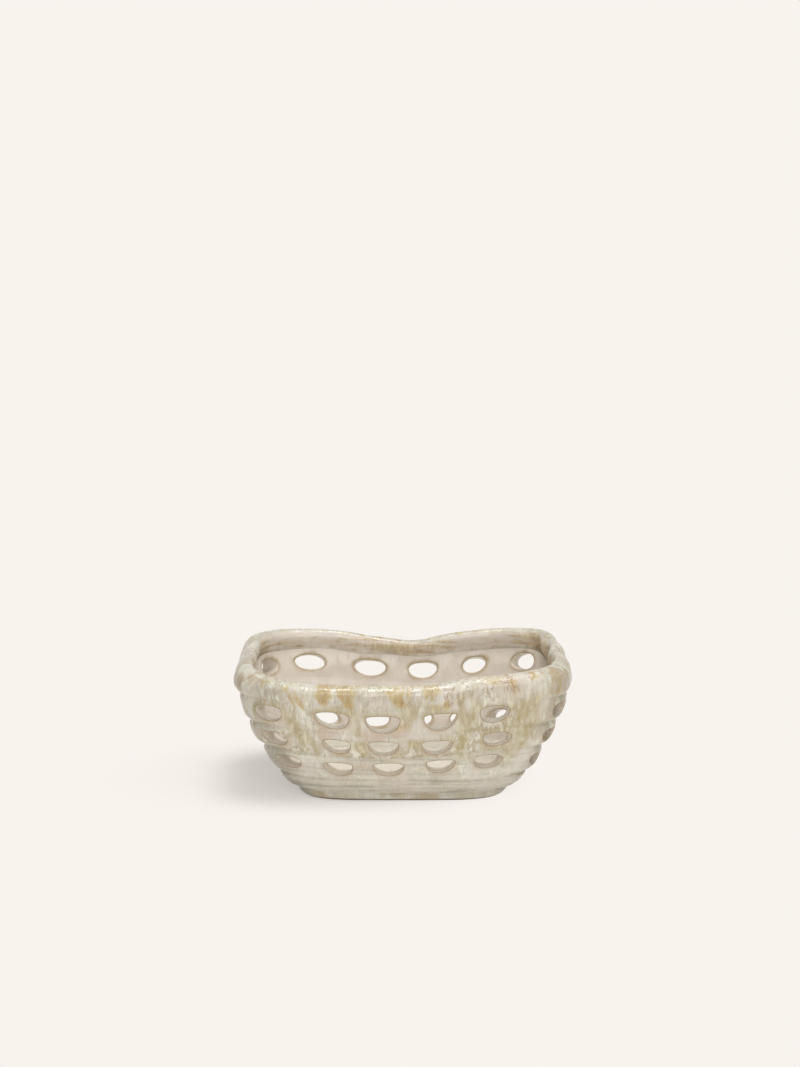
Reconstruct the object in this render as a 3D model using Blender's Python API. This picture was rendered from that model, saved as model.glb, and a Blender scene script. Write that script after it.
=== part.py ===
"""A coil-built stoneware bread basket: a squared bowl with three rows of oval holes and a rolled rim.

The basket is built as a potter builds it. A foot ring and a floor slab come first, then four courses
of thick coil, three of them pierced, and last a fat rim coil. Each is a closed solid of its own. Every
course is hollowed underneath to sit over the crowned top of the course below.

Metres, +Z up. The origin is on the table, under the middle of the floor. +X runs along the basket's
length, and -Y faces the front.
"""

import math

import bmesh
import bpy
from mathutils import Matrix, Vector

# Seams between the joined pieces
SEAM_GAP = 0.0003
SEAM_CROWN = 0.0015

# Heights
FOOT_RING_TOP = 0.0025
SLAB_TOP = 0.0080
SLAB_EDGE_RADIUS = 0.0015
PLAIN_COURSE_TOP = 0.0215
PLAIN_COURSE_END_LIFT = 0.0025
RIM_SEAM_ABOVE_HOLES = 0.0125

# Half length and half depth of the outer wall at each seam, from the table up
FOOT_RING_HALF = (0.0905, 0.0625)
SLAB_FOOT_HALF = (0.0920, 0.0638)
SLAB_TOP_HALF = (0.0955, 0.0655)
PLAIN_TOP_HALF = (0.1105, 0.0740)
LOWER_TOP_HALF = (0.1240, 0.0815)
MIDDLE_TOP_HALF = (0.1360, 0.0890)
UPPER_TOP_HALF = (0.1445, 0.0945)

# The squared plan is a superellipse, and each course bulges like a pressed coil
PLAN_SQUARENESS = 4.4
COIL_ROUNDNESS = 1.7

# Thickness of the wall, measured level, at the same seams
FOOT_RING_WIDTH = 0.0110
PLAIN_FOOT_WALL = 0.0150
PLAIN_TOP_WALL = 0.0140
LOWER_TOP_WALL = 0.0125
MIDDLE_TOP_WALL = 0.0110
UPPER_TOP_WALL = 0.0100
INNER_COIL_SWELL = 0.0010

# Inside corner
SEAM_COIL_CLEARANCE = 0.0005
SEAM_COIL_REACH = 0.0100
SEAM_COIL_HOLLOW = 0.0035
SEAM_COIL_TOP_SHARE = 0.5

# Holes, from the lowest row up: width and height
LOWER_HOLE = (0.0250, 0.0135)
MIDDLE_HOLE = (0.0260, 0.0140)
UPPER_HOLE = (0.0290, 0.0160)
HOLE_SIDES = 16
CUTTER_LENGTH = 0.0500
CUTTER_FACE_SHARE = 0.7

# Each column of holes: its direction in plan in degrees at the top row (0 right, -90 front), the drift
# of that direction from one row to the row below, the share of the row's hole width, and the heights
# of its holes in the lower, middle and upper course
HOLE_COLUMNS = (
    (-145.5, -0.3, 0.95, 0.0380, 0.0605, 0.0842),
    (-124.4, -1.4, 0.97, 0.0340, 0.0556, 0.0803),
    (-101.2, 0.7, 1.02, 0.0335, 0.0540, 0.0767),
    (-70.7, 2.0, 0.97, 0.0358, 0.0550, 0.0792),
    (-47.6, 1.8, 0.97, 0.0400, 0.0618, 0.0860),
    (-25.0, 0.0, 0.95, 0.0362, 0.0590, 0.0830),
    (2.0, 0.0, 1.00, 0.0340, 0.0550, 0.0820),
    (32.0, 0.7, 0.85, 0.0405, 0.0635, 0.0917),
    (51.5, 0.2, 0.80, 0.0372, 0.0600, 0.0860),
    (77.5, 0.0, 0.93, 0.0360, 0.0574, 0.0817),
    (109.5, 0.0, 1.02, 0.0360, 0.0582, 0.0837),
    (137.0, 0.0, 1.00, 0.0382, 0.0625, 0.0901),
    (157.0, 0.0, 0.95, 0.0370, 0.0615, 0.0905),
    (184.0, 0.0, 1.00, 0.0330, 0.0550, 0.0820),
)

# The rim's crest: direction in plan in degrees and height. It dips in the middle of both long sides.
RIM_CREST = (
    (-150, 0.1190),
    (-125, 0.1120),
    (-100, 0.1095),
    (-75, 0.1100),
    (-50, 0.1170),
    (-28, 0.1230),
    (0, 0.1210),
    (30, 0.1245),
    (45, 0.1215),
    (62, 0.1150),
    (83, 0.1085),
    (105, 0.1130),
    (125, 0.1190),
    (145, 0.1225),
    (180, 0.1195),
)
STATION_SHARPNESS = 30.0

# Section of the rim coil: share of its height above the seam, and distance inwards from the wall's
# outer face, going up the outside, over the crest and down the inside
RIM_SECTION = (
    (0.10, -0.0025),
    (0.30, -0.0045),
    (0.55, -0.0042),
    (0.80, -0.0010),
    (0.95, 0.0035),
    (1.00, 0.0070),
    (0.93, 0.0105),
    (0.75, 0.0125),
    (0.50, 0.0125),
    (0.30, 0.0105),
)

PLAN_STATIONS = 72
COIL_STEPS = (0.12, 0.35, 0.68)
SAMPLES_PER_STATION = 40
WELD_DISTANCE = 1e-6
SHARP_ANGLE = math.radians(40)

# Glazed and bare stoneware: colour, roughness
GLAZE = ((0.62, 0.57, 0.47, 1.0), 0.22)
BARE_CLAY = ((0.42, 0.33, 0.24, 1.0), 0.80)


def station_mean(direction, stations):
    """Smooth height round the basket: the mean of (degrees, height) stations, the nearest counting most."""
    weights = [
        math.exp(STATION_SHARPNESS * (math.cos(direction - math.radians(at)) - 1.0))
        for at, _ in stations
    ]
    return sum(w * height for w, (_, height) in zip(weights, stations)) / sum(weights)


def hole_height(direction, row):
    """Height of the middle of a row of holes; row 0 is the lowest."""
    return station_mean(direction, [(column[0], column[3 + row]) for column in HOLE_COLUMNS])


def seam_height(direction, seam):
    """Height of a seam's outer edge. The slab's is flat, and the upper ones follow the rows of holes."""
    if seam == "slab":
        return SLAB_TOP
    if seam == "plain":
        return PLAIN_COURSE_TOP + PLAIN_COURSE_END_LIFT * math.cos(direction) ** 2
    if seam == "lower":
        return (hole_height(direction, 0) + hole_height(direction, 1)) / 2
    if seam == "middle":
        return (hole_height(direction, 1) + hole_height(direction, 2)) / 2
    return hole_height(direction, 2) + RIM_SEAM_ABOVE_HOLES


def plan_point(direction, half):
    """Point of the squared plan in that direction, for a (half length, half depth)."""
    across = (abs(math.cos(direction)) / half[0]) ** PLAN_SQUARENESS
    along = (abs(math.sin(direction)) / half[1]) ** PLAN_SQUARENESS
    reach = (across + along) ** (-1.0 / PLAN_SQUARENESS)
    return reach * math.cos(direction), reach * math.sin(direction)


def plan_normal(direction, half):
    """Level direction that faces straight out of the plan there."""
    x, y = plan_point(direction, half)
    power = PLAN_SQUARENESS - 1.0
    out_x = math.copysign((abs(x) / half[0]) ** power / half[0], x)
    out_y = math.copysign((abs(y) / half[1]) ** power / half[1], y)
    return Vector((out_x, out_y, 0.0)).normalized()


def even_directions(count):
    """Directions whose points lie evenly along the rim's plan."""
    fine = SAMPLES_PER_STATION * count
    points = [plan_point(math.tau * i / fine, UPPER_TOP_HALF) for i in range(fine + 1)]
    lengths = [math.dist(a, b) for a, b in zip(points, points[1:])]
    step = sum(lengths) / count
    directions = []
    walked = 0.0
    for i, length in enumerate(lengths):
        if walked >= step * len(directions) and len(directions) < count:
            directions.append(math.tau * i / fine)
        walked += length
    return directions


DIRECTIONS = even_directions(PLAN_STATIONS)


def inset(half, distance):
    """A half size drawn in by a distance all round."""
    return half[0] - distance, half[1] - distance


def between(low, high, share):
    """Mix of two numbers, or of two half sizes."""
    if isinstance(low, tuple):
        return tuple(between(a, b, share) for a, b in zip(low, high))
    return low + (high - low) * share


def coil_arc(share):
    """How far out a coil's face has come, from its lower seam (0) to its upper one (1)."""
    return (1.0 - (1.0 - share) ** COIL_ROUNDNESS) ** (1.0 / COIL_ROUNDNESS)


def level_loop(half, height):
    """Loop of points round the plan; height is a number or a function of the direction."""
    heights = height if callable(height) else (lambda direction: height)
    return [Vector((*plan_point(d, half), heights(d))) for d in DIRECTIONS]


def ring_edges(ring):
    """The edges that join a ring of vertices one to the next."""
    inside = set(ring)
    return [e for e in {edge for vert in ring for edge in vert.link_edges} if inside.issuperset(e.verts)]


def loft(bm, loops, closed):
    """Extrudes a ring through loops of points; closed takes it round a coil's section to the first."""
    ring = bmesh.ops.create_circle(bm, segments=len(loops[0]), radius=1.0)["verts"]
    for vert, point in zip(ring, loops[0]):
        vert.co = point
    first = ring_edges(ring)
    stops = loops[1:] + loops[:1] if closed else loops[1:]
    for points in stops:
        made = bmesh.ops.extrude_edge_only(bm, edges=ring_edges(ring))["geom"]
        fresh = {item for item in made if isinstance(item, bmesh.types.BMVert)}
        ring = [next(e.other_vert(v) for e in v.link_edges if e.other_vert(v) in fresh) for v in ring]
        for vert, point in zip(ring, points):
            vert.co = point
    if closed:
        bmesh.ops.remove_doubles(bm, verts=bm.verts, dist=WELD_DISTANCE)
        return []
    return [first, ring_edges(ring)]


def clay_material(name, finish):
    """Plain stand-in finish of a piece."""
    colour, roughness = finish
    material = bpy.data.materials.new(name)
    material.use_nodes = True
    shader = material.node_tree.nodes["Principled BSDF"]
    shader.inputs["Base Color"].default_value = colour
    shader.inputs["Roughness"].default_value = roughness
    shader.inputs["Metallic"].default_value = 0.0
    return material


def add_piece(name, bm, finish):
    """Makes an object of a finished bmesh."""
    bmesh.ops.recalc_face_normals(bm, faces=bm.faces)
    mesh = bpy.data.meshes.new(name)
    bm.to_mesh(mesh)
    bm.free()
    mesh.shade_smooth()
    mesh.set_sharp_from_angle(angle=SHARP_ANGLE)
    mesh.materials.append(clay_material(name, finish))
    piece = bpy.data.objects.new(name, mesh)
    bpy.context.scene.collection.objects.link(piece)
    return piece


def make_foot_ring():
    """Low ring that the basket stands on."""
    bm = bmesh.new()
    inner = inset(FOOT_RING_HALF, FOOT_RING_WIDTH)
    loops = [
        level_loop(FOOT_RING_HALF, 0.0),
        level_loop(FOOT_RING_HALF, FOOT_RING_TOP),
        level_loop(inner, FOOT_RING_TOP),
        level_loop(inner, 0.0),
    ]
    loft(bm, loops, closed=True)
    return add_piece("foot_ring", bm, BARE_CLAY)


def make_base_slab():
    """Floor of the basket, whose edge shows below the wall."""
    bm = bmesh.new()
    foot = FOOT_RING_TOP + SEAM_GAP
    loops = [
        level_loop(inset(SLAB_FOOT_HALF, SLAB_EDGE_RADIUS), foot),
        level_loop(SLAB_FOOT_HALF, foot + SLAB_EDGE_RADIUS),
        level_loop(SLAB_TOP_HALF, SLAB_TOP),
    ]
    for border in loft(bm, loops, closed=False):
        bmesh.ops.edgeloop_fill(bm, edges=border)
    return add_piece("base_slab", bm, GLAZE)


def make_inner_seam_coil():
    """Thin coil pressed into the inside corner, with a hollow face."""
    bm = bmesh.new()
    floor = SLAB_TOP + SEAM_GAP
    wall = inset(SLAB_TOP_HALF, PLAIN_FOOT_WALL + SEAM_COIL_CLEARANCE)
    share = SEAM_COIL_TOP_SHARE
    top_wall = between(PLAIN_FOOT_WALL, PLAIN_TOP_WALL, share) + INNER_COIL_SWELL + SEAM_COIL_CLEARANCE
    top = inset(between(SLAB_TOP_HALF, PLAIN_TOP_HALF, share), top_wall)
    loops = [
        level_loop(wall, floor),
        level_loop(top, lambda direction: between(SLAB_TOP, seam_height(direction, "plain"), share)),
        level_loop(inset(wall, SEAM_COIL_HOLLOW), floor + SEAM_COIL_HOLLOW),
        level_loop(inset(wall, SEAM_COIL_REACH), floor),
    ]
    loft(bm, loops, closed=True)
    return add_piece("inner_seam_coil", bm, GLAZE)


class Course:
    """One course of coil between two seams.

    foot and top are seam names. The halves are the wall's outer half sizes there, and the walls are
    its level thickness there.
    """

    def __init__(self, foot, top, foot_half, top_half, foot_wall, top_wall):
        self.foot, self.top = foot, top
        self.foot_half, self.top_half = foot_half, top_half
        self.foot_wall, self.top_wall = foot_wall, top_wall

    def loop(self, share, distance, lift=0.0, bulge=True):
        """Loop at a share of the course's height, a distance in from its outer face."""
        arc = coil_arc(share) if bulge else share
        half = inset(between(self.foot_half, self.top_half, arc), distance)

        def height(direction):
            low = seam_height(direction, self.foot)
            high = seam_height(direction, self.top)
            return between(low, high, share) + lift

        return level_loop(half, height)

    def section(self):
        """Loops of the whole section: up the outside, over the crown, down the inside, under the hollow."""
        hollow = 0.0 if self.foot == "slab" else SEAM_CROWN
        middle_wall = between(self.foot_wall, self.top_wall, 0.5) + INNER_COIL_SWELL
        loops = [self.loop(0.0, 0.0, SEAM_GAP)]
        loops += [self.loop(share, 0.0) for share in COIL_STEPS]
        loops += [self.loop(1.0, 0.0), self.loop(1.0, self.top_wall / 2, SEAM_CROWN)]
        loops += [self.loop(1.0, self.top_wall)]
        loops += [self.loop(0.5, middle_wall, bulge=False), self.loop(0.0, self.foot_wall, SEAM_GAP)]
        loops += [self.loop(0.0, self.foot_wall / 2, SEAM_GAP + hollow)]
        return loops

    def hole_frames(self, row, size):
        """Placement of each hole's cutter in this course: level, square to the wall."""
        half = between(self.foot_half, self.top_half, CUTTER_FACE_SHARE)
        width, height = size
        for bearing, drift, width_share, *heights in HOLE_COLUMNS:
            direction = math.radians(bearing + drift * (2 - row))
            outward = plan_normal(direction, half)
            along = Vector((0.0, 0.0, 1.0)).cross(outward)
            place = Vector((*plan_point(direction, inset(half, self.foot_wall / 2)), heights[row]))
            across = along * width_share * width / 2
            upright = Vector((0.0, 0.0, height / 2))
            turned = Matrix((across, upright, -outward)).transposed()
            yield Matrix.Translation(place) @ turned.to_4x4()


LOWER_COURSE = Course("plain", "lower", PLAIN_TOP_HALF, LOWER_TOP_HALF, PLAIN_TOP_WALL, LOWER_TOP_WALL)
MIDDLE_COURSE = Course("lower", "middle", LOWER_TOP_HALF, MIDDLE_TOP_HALF, LOWER_TOP_WALL, MIDDLE_TOP_WALL)
UPPER_COURSE = Course("middle", "upper", MIDDLE_TOP_HALF, UPPER_TOP_HALF, MIDDLE_TOP_WALL, UPPER_TOP_WALL)


def make_plain_course():
    """Lowest wall coil, which stands on the slab."""
    course = Course("slab", "plain", SLAB_TOP_HALF, PLAIN_TOP_HALF, PLAIN_FOOT_WALL, PLAIN_TOP_WALL)
    bm = bmesh.new()
    loft(bm, course.section(), closed=True)
    return add_piece("plain_course", bm, GLAZE)


def make_hole_cutters(name, course, row, size):
    """All of a row's hole cutters as one hidden helper: oval prisms that pass right through the wall."""
    bm = bmesh.new()
    for frame in course.hole_frames(row, size):
        bmesh.ops.create_cone(
            bm,
            cap_ends=True,
            segments=HOLE_SIDES,
            radius1=1.0,
            radius2=1.0,
            depth=CUTTER_LENGTH,
            matrix=frame,
        )
    cutters = add_piece(name, bm, BARE_CLAY)
    cutters.hide_render = True
    cutters.display_type = "WIRE"
    return cutters


def make_pierced_course(name, course, row, size):
    """Wall coil with a row of oval holes cut level through it."""
    bm = bmesh.new()
    loft(bm, course.section(), closed=True)
    piece = add_piece(name, bm, GLAZE)
    cut = piece.modifiers.new("holes", "BOOLEAN")
    cut.operation = "DIFFERENCE"
    cut.object = make_hole_cutters(f"{name}_cutters", course, row, size)
    return piece


def make_rim_coil():
    """Fat rolled rim that sits over the crown of the upper course."""

    def rim_height(share, lift=0.0):
        def height(direction):
            seam = seam_height(direction, "upper")
            return between(seam, station_mean(direction, RIM_CREST), share) + lift

        return height

    def rim_loop(share, distance, lift=0.0):
        return level_loop(inset(UPPER_TOP_HALF, distance), rim_height(share, lift))

    bm = bmesh.new()
    loops = [rim_loop(0.0, 0.0, SEAM_GAP)]
    loops += [rim_loop(share, distance) for share, distance in RIM_SECTION]
    loops += [rim_loop(0.0, UPPER_TOP_WALL, SEAM_GAP)]
    loops += [rim_loop(0.0, UPPER_TOP_WALL / 2, SEAM_GAP + SEAM_CROWN)]
    loft(bm, loops, closed=True)
    return add_piece("rim_coil", bm, GLAZE)


def main():
    """Builds the pieces from the table up."""
    for old in list(bpy.data.objects):
        bpy.data.objects.remove(old)
    make_foot_ring()
    make_base_slab()
    make_inner_seam_coil()
    make_plain_course()
    make_pierced_course("lower_pierced_course", LOWER_COURSE, 0, LOWER_HOLE)
    make_pierced_course("middle_pierced_course", MIDDLE_COURSE, 1, MIDDLE_HOLE)
    make_pierced_course("upper_pierced_course", UPPER_COURSE, 2, UPPER_HOLE)
    make_rim_coil()


main()
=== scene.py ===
"""Looks of a coil-built stoneware bread basket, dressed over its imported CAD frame.

Every piece of clay is made from one shared form, so that neighbouring coils meet in a common seam. A coil
starts as a flat grid that is wrapped round its section and round the squared plan. Each pierced coil then
has its oval holes cut out of both skins, and a rounded lip is drawn through the wall. The hand's unevenness
is pressed into the clay, and the places where the glaze ran are written on the vertices, for the glaze
materials to read.

Metres, +Z up, +X along the basket's length, -Y to the front, in the frame of the CAD model.
"""

import logging
import math
import random
from dataclasses import dataclass, field
from enum import Enum

import bmesh
import bpy
import numpy as np
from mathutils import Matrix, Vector, noise

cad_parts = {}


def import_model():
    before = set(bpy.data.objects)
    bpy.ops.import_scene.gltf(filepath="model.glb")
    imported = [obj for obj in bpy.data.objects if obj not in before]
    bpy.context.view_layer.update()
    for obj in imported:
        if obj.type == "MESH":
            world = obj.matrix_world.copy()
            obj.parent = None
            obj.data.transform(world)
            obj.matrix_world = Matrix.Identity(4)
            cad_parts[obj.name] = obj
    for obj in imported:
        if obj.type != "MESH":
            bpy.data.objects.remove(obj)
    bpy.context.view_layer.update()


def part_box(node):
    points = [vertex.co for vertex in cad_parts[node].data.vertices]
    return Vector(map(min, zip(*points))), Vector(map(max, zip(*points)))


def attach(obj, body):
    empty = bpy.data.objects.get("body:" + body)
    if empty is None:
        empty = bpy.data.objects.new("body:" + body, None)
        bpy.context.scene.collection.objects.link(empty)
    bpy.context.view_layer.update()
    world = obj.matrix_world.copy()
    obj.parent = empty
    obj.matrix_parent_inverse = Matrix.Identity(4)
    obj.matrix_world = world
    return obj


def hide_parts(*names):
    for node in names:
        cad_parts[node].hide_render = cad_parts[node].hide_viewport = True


LOG = logging.getLogger("bread_basket")

Array = np.ndarray
Socket = bpy.types.NodeSocket
Material = bpy.types.Material
Half = tuple[float, float]
Triple = tuple[float, float, float]
Colour = tuple[float, float, float, float]
Block = tuple[int, int, int, int]
VertGrid = list[list[bmesh.types.BMVert]]

MILLIMETRE = 0.001
WELD_DISTANCE = 1e-6
THIN_ROW = 0.12
FAR_FROM_EDGES = 20.0
NEARLY_NOTHING = 1e-9
LEVEL_STEPS = 1200
SOFTENING_STEPS = 60
PLAN_STEPS = 20000
PATH_STEPS = 40
MOST_VERTICES = 2**17


def srgb(red: int, green: int, blue: int) -> Colour:
    """Turns a colour as it is seen, in steps of 0 to 255, into the linear values that a shader takes.

    Args:
        red: Red of the seen colour.
        green: Green of the seen colour.
        blue: Blue of the seen colour.

    Returns:
        Linear colour with full alpha.
    """
    linear = []
    for step in (red, green, blue):
        value = step / 255.0
        linear.append(value / 12.92 if value <= 0.04045 else ((value + 0.055) / 1.055) ** 2.4)
    return linear[0], linear[1], linear[2], 1.0


def smoothstep(value: Array) -> Array:
    """Eases a share from 0 to 1, with values outside clipped."""
    share = np.clip(value, 0.0, 1.0)
    return share * share * (3.0 - 2.0 * share)


def mixed(low: Array, high: Array, share: Array) -> Array:
    """Mixes two values or arrays by a share."""
    return low + (high - low) * share


def turned(direction: Array, bearing: float) -> Array:
    """Signed angle in degrees from a bearing in degrees to directions in radians."""
    return (np.degrees(direction) - bearing + 180.0) % 360.0 - 180.0


def seam_shares(count: int) -> Array:
    """Spreads rows from one seam to another, with a thin row beside each so that the shading runs across.

    Args:
        count: Number of rows of faces.

    Returns:
        Shares from 0 to 1.
    """
    thin = THIN_ROW / count
    return np.concatenate([[0.0], np.linspace(thin, 1.0 - thin, count - 1), [1.0]])


class Seam(Enum):
    """Levels where two coils of clay meet, counted upwards from the floor slab."""

    SLAB = 0
    PLAIN = 1
    LOWER = 2
    MIDDLE = 3
    UPPER = 4


class Skin(Enum):
    """The two faces of the wall."""

    OUTER = "outer"
    INNER = "inner"


class Tone(Enum):
    """Colours that the glaze breaks into where it runs, as names of vertex attributes."""

    OCHRE = "ochre"
    OLIVE = "olive"
    BLUSH = "blush"
    MIST = "mist"
    CRACKLE = "crackle"


class Mark(Enum):
    """Other vertex attributes that the glazes read."""

    EDGE = "edge"
    CUT = "cut"
    INSIDE = "inside"
    GROOVE = "groove"
    CREST = "crest"
    UNDER = "under"
    END = "end"


@dataclass(frozen=True)
class HoleColumn:
    """One upright column of three holes.

    bearings in plan in degrees, widths and heights are of the lower, middle and upper hole. height_share
    scales the row's usual hole height, and brow is the share of it above the hole's two tips: a small one
    makes a half moon with a flat brow.
    """

    bearings: Triple
    widths: Triple
    height_share: float
    brow: float
    heights: Triple


HOLE_COLUMNS = (
    HoleColumn((-146.0, -146.4, -145.3), (0.0220, 0.0225, 0.0245), 0.92, 0.30, (0.0385, 0.0607, 0.0842)),
    HoleColumn((-127.4, -125.0, -124.6), (0.0238, 0.0232, 0.0285), 1.00, 0.26, (0.0340, 0.0556, 0.0803)),
    HoleColumn((-99.6, -101.5, -101.0), (0.0258, 0.0252, 0.0285), 1.00, 0.24, (0.0335, 0.0540, 0.0763)),
    HoleColumn((-65.8, -70.3, -70.0), (0.0238, 0.0252, 0.0272), 1.00, 0.24, (0.0360, 0.0548, 0.0792)),
    HoleColumn((-44.4, -44.7, -48.0), (0.0232, 0.0232, 0.0242), 1.00, 0.26, (0.0408, 0.0622, 0.0860)),
    HoleColumn((-25.0, -25.0, -25.0), (0.0215, 0.0225, 0.0250), 0.95, 0.35, (0.0365, 0.0590, 0.0828)),
    HoleColumn((2.0, 2.0, 2.0), (0.0240, 0.0250, 0.0270), 0.95, 0.38, (0.0335, 0.0540, 0.0815)),
    HoleColumn((33.4, 32.7, 32.0), (0.0215, 0.0225, 0.0246), 1.02, 0.46, (0.0432, 0.0654, 0.0937)),
    HoleColumn((52.0, 51.7, 51.5), (0.0200, 0.0205, 0.0215), 0.99, 0.48, (0.0388, 0.0606, 0.0868)),
    HoleColumn((77.5, 77.5, 77.5), (0.0235, 0.0245, 0.0268), 0.96, 0.46, (0.0376, 0.0580, 0.0820)),
    HoleColumn((109.5, 109.5, 109.5), (0.0255, 0.0265, 0.0295), 1.00, 0.48, (0.0373, 0.0588, 0.0843)),
    HoleColumn((136.5, 138.5, 136.5), (0.0245, 0.0255, 0.0284), 0.94, 0.48, (0.0398, 0.0632, 0.0904)),
    HoleColumn((157.0, 157.0, 157.0), (0.0235, 0.0245, 0.0270), 0.95, 0.44, (0.0380, 0.0620, 0.0912)),
    HoleColumn((184.0, 184.0, 184.0), (0.0240, 0.0250, 0.0270), 0.95, 0.38, (0.0330, 0.0545, 0.0805)),
)

# The rim's crest: bearing in degrees, height
RIM_CREST = (
    (-160, 0.1205),
    (-148, 0.1160),
    (-138, 0.1090),
    (-122, 0.1095),
    (-100, 0.1090),
    (-75, 0.1100),
    (-50, 0.1170),
    (-28, 0.1225),
    (0, 0.1205),
    (22, 0.1222),
    (38, 0.1248),
    (50, 0.1205),
    (62, 0.1150),
    (83, 0.1085),
    (105, 0.1130),
    (125, 0.1190),
    (140, 0.1225),
    (157, 0.1235),
    (180, 0.1195),
)

# Section of the rim, up the outside, over the crest and down the inside: share of its height above the
# seam, and distance inwards from the wall's outer face at the seam, round the ends and along the sides
RIM_SECTION = (
    (0.00, 0.0000, 0.0000),
    (0.07, -0.0024, -0.00033),
    (0.22, -0.0044, -0.00100),
    (0.45, -0.0046, -0.0018),
    (0.70, -0.0027, -0.0017),
    (0.88, 0.0005, 0.0008),
    (0.98, 0.0042, 0.0042),
    (1.00, 0.0072, 0.0070),
    (0.96, 0.0100, 0.0100),
    (0.82, 0.0122, 0.0122),
    (0.60, 0.0128, 0.0128),
    (0.38, 0.0117, 0.0118),
    (0.22, 0.0095, 0.0097),
    (0.10, 0.0092, 0.0094),
)


@dataclass(frozen=True)
class RimLump:
    """A place where the rim coil was pressed outwards and up, or pinched where the numbers are negative."""

    bearing: float
    spread: float
    out: float
    up: float


RIM_LUMPS = (
    RimLump(28.0, 7.0, 0.0028, 0.0004),
    RimLump(18.0, 3.5, -0.0028, -0.0022),
    RimLump(9.0, 5.0, 0.0012, 0.0012),
    RimLump(1.5, 3.0, -0.0020, -0.0012),
    RimLump(-8.0, 6.0, 0.0010, 0.0004),
    RimLump(-19.0, 3.5, -0.0012, -0.0006),
)


@dataclass(frozen=True)
class GlazeRun:
    """A place where the glaze ran: it starts at a height, drops, and narrows to a point.

    bearing is in degrees, the sizes in metres. lean is how far the run's foot moves along the wall.
    """

    tone: Tone
    bearing: float
    top: float
    drop: float
    width: float
    strength: float = 1.0
    lean: float = 0.0


# Runs on the front: bearing, top, drop, width, strength and, where there is one, lean
FRONT_RUNS = {
    Tone.OCHRE: (
        (-126.0, 0.1120, 0.0200, 0.0100, 1.0, 0.002),
        (-117.2, 0.1115, 0.0240, 0.0125, 1.0, 0.005),
        (-137.5, 0.1130, 0.0280, 0.0030, 0.8, 0.006),
        (-145.0, 0.1150, 0.0120, 0.0080, 0.45),
        (-92.5, 0.1095, 0.0190, 0.0170, 0.8),
        (-103.0, 0.1095, 0.0090, 0.0080, 0.55),
        (-75.5, 0.1095, 0.0130, 0.0120, 0.95),
        (-71.5, 0.0970, 0.0090, 0.0220, 0.62),
        (-95.0, 0.0755, 0.0060, 0.0200, 0.55),
        (-66.0, 0.1110, 0.0060, 0.0080, 0.5),
        (-50.0, 0.1180, 0.0070, 0.0120, 0.6),
        (-44.5, 0.1190, 0.0180, 0.0040, 0.6),
        (-37.0, 0.1215, 0.0070, 0.0090, 0.6),
        (-146.0, 0.0785, 0.0060, 0.0130, 0.7),
        (-133.5, 0.1000, 0.0130, 0.0050, 0.7, 0.003),
    ),
    Tone.OLIVE: (
        (-114.0, 0.0920, 0.0300, 0.0110, 0.8, 0.002),
        (-112.5, 0.0600, 0.0150, 0.0080, 0.9),
        (-138.5, 0.0860, 0.0450, 0.0075, 0.8, 0.010),
        (-133.0, 0.0680, 0.0280, 0.0060, 0.8),
        (-86.5, 0.0940, 0.0260, 0.0140, 0.8),
        (-84.0, 0.0620, 0.0100, 0.0140, 0.8),
        (-59.5, 0.0960, 0.0560, 0.0120, 0.9),
        (-54.0, 0.0480, 0.0100, 0.0120, 0.45),
        (-38.5, 0.0960, 0.0600, 0.0210, 1.0),
        (-72.0, 0.0940, 0.0070, 0.0200, 0.8),
        (-123.0, 0.0930, 0.0070, 0.0210, 0.7),
        (-100.0, 0.0910, 0.0060, 0.0200, 0.5),
    ),
    Tone.BLUSH: (
        (-105.0, 0.0700, 0.0120, 0.0260, 0.9),
        (-93.0, 0.0745, 0.0120, 0.0220, 0.9),
        (-98.0, 0.1060, 0.0160, 0.0300, 0.6),
        (-127.0, 0.0710, 0.0110, 0.0140, 0.8),
        (-100.0, 0.0440, 0.0300, 0.0500, 0.35),
        (-70.0, 0.0470, 0.0300, 0.0400, 0.3),
        (-156.0, 0.1130, 0.0200, 0.0200, 0.9),
    ),
    Tone.MIST: (
        (-85.0, 0.1070, 0.0200, 0.0080, 0.8),
        (-68.0, 0.1080, 0.0220, 0.0120, 0.7),
        (-107.0, 0.1050, 0.0200, 0.0120, 0.6),
    ),
    Tone.CRACKLE: (
        (-66.0, 0.1120, 0.0260, 0.0200, 0.8),
        (-46.0, 0.1190, 0.0320, 0.0300, 1.0),
        (-88.0, 0.1080, 0.0200, 0.0120, 0.7),
        (-143.0, 0.1150, 0.0180, 0.0120, 0.35),
        (-153.0, 0.1165, 0.0240, 0.0200, 1.0),
        (92.0, 0.1220, 0.0500, 0.0500, 1.0),
    ),
}


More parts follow.
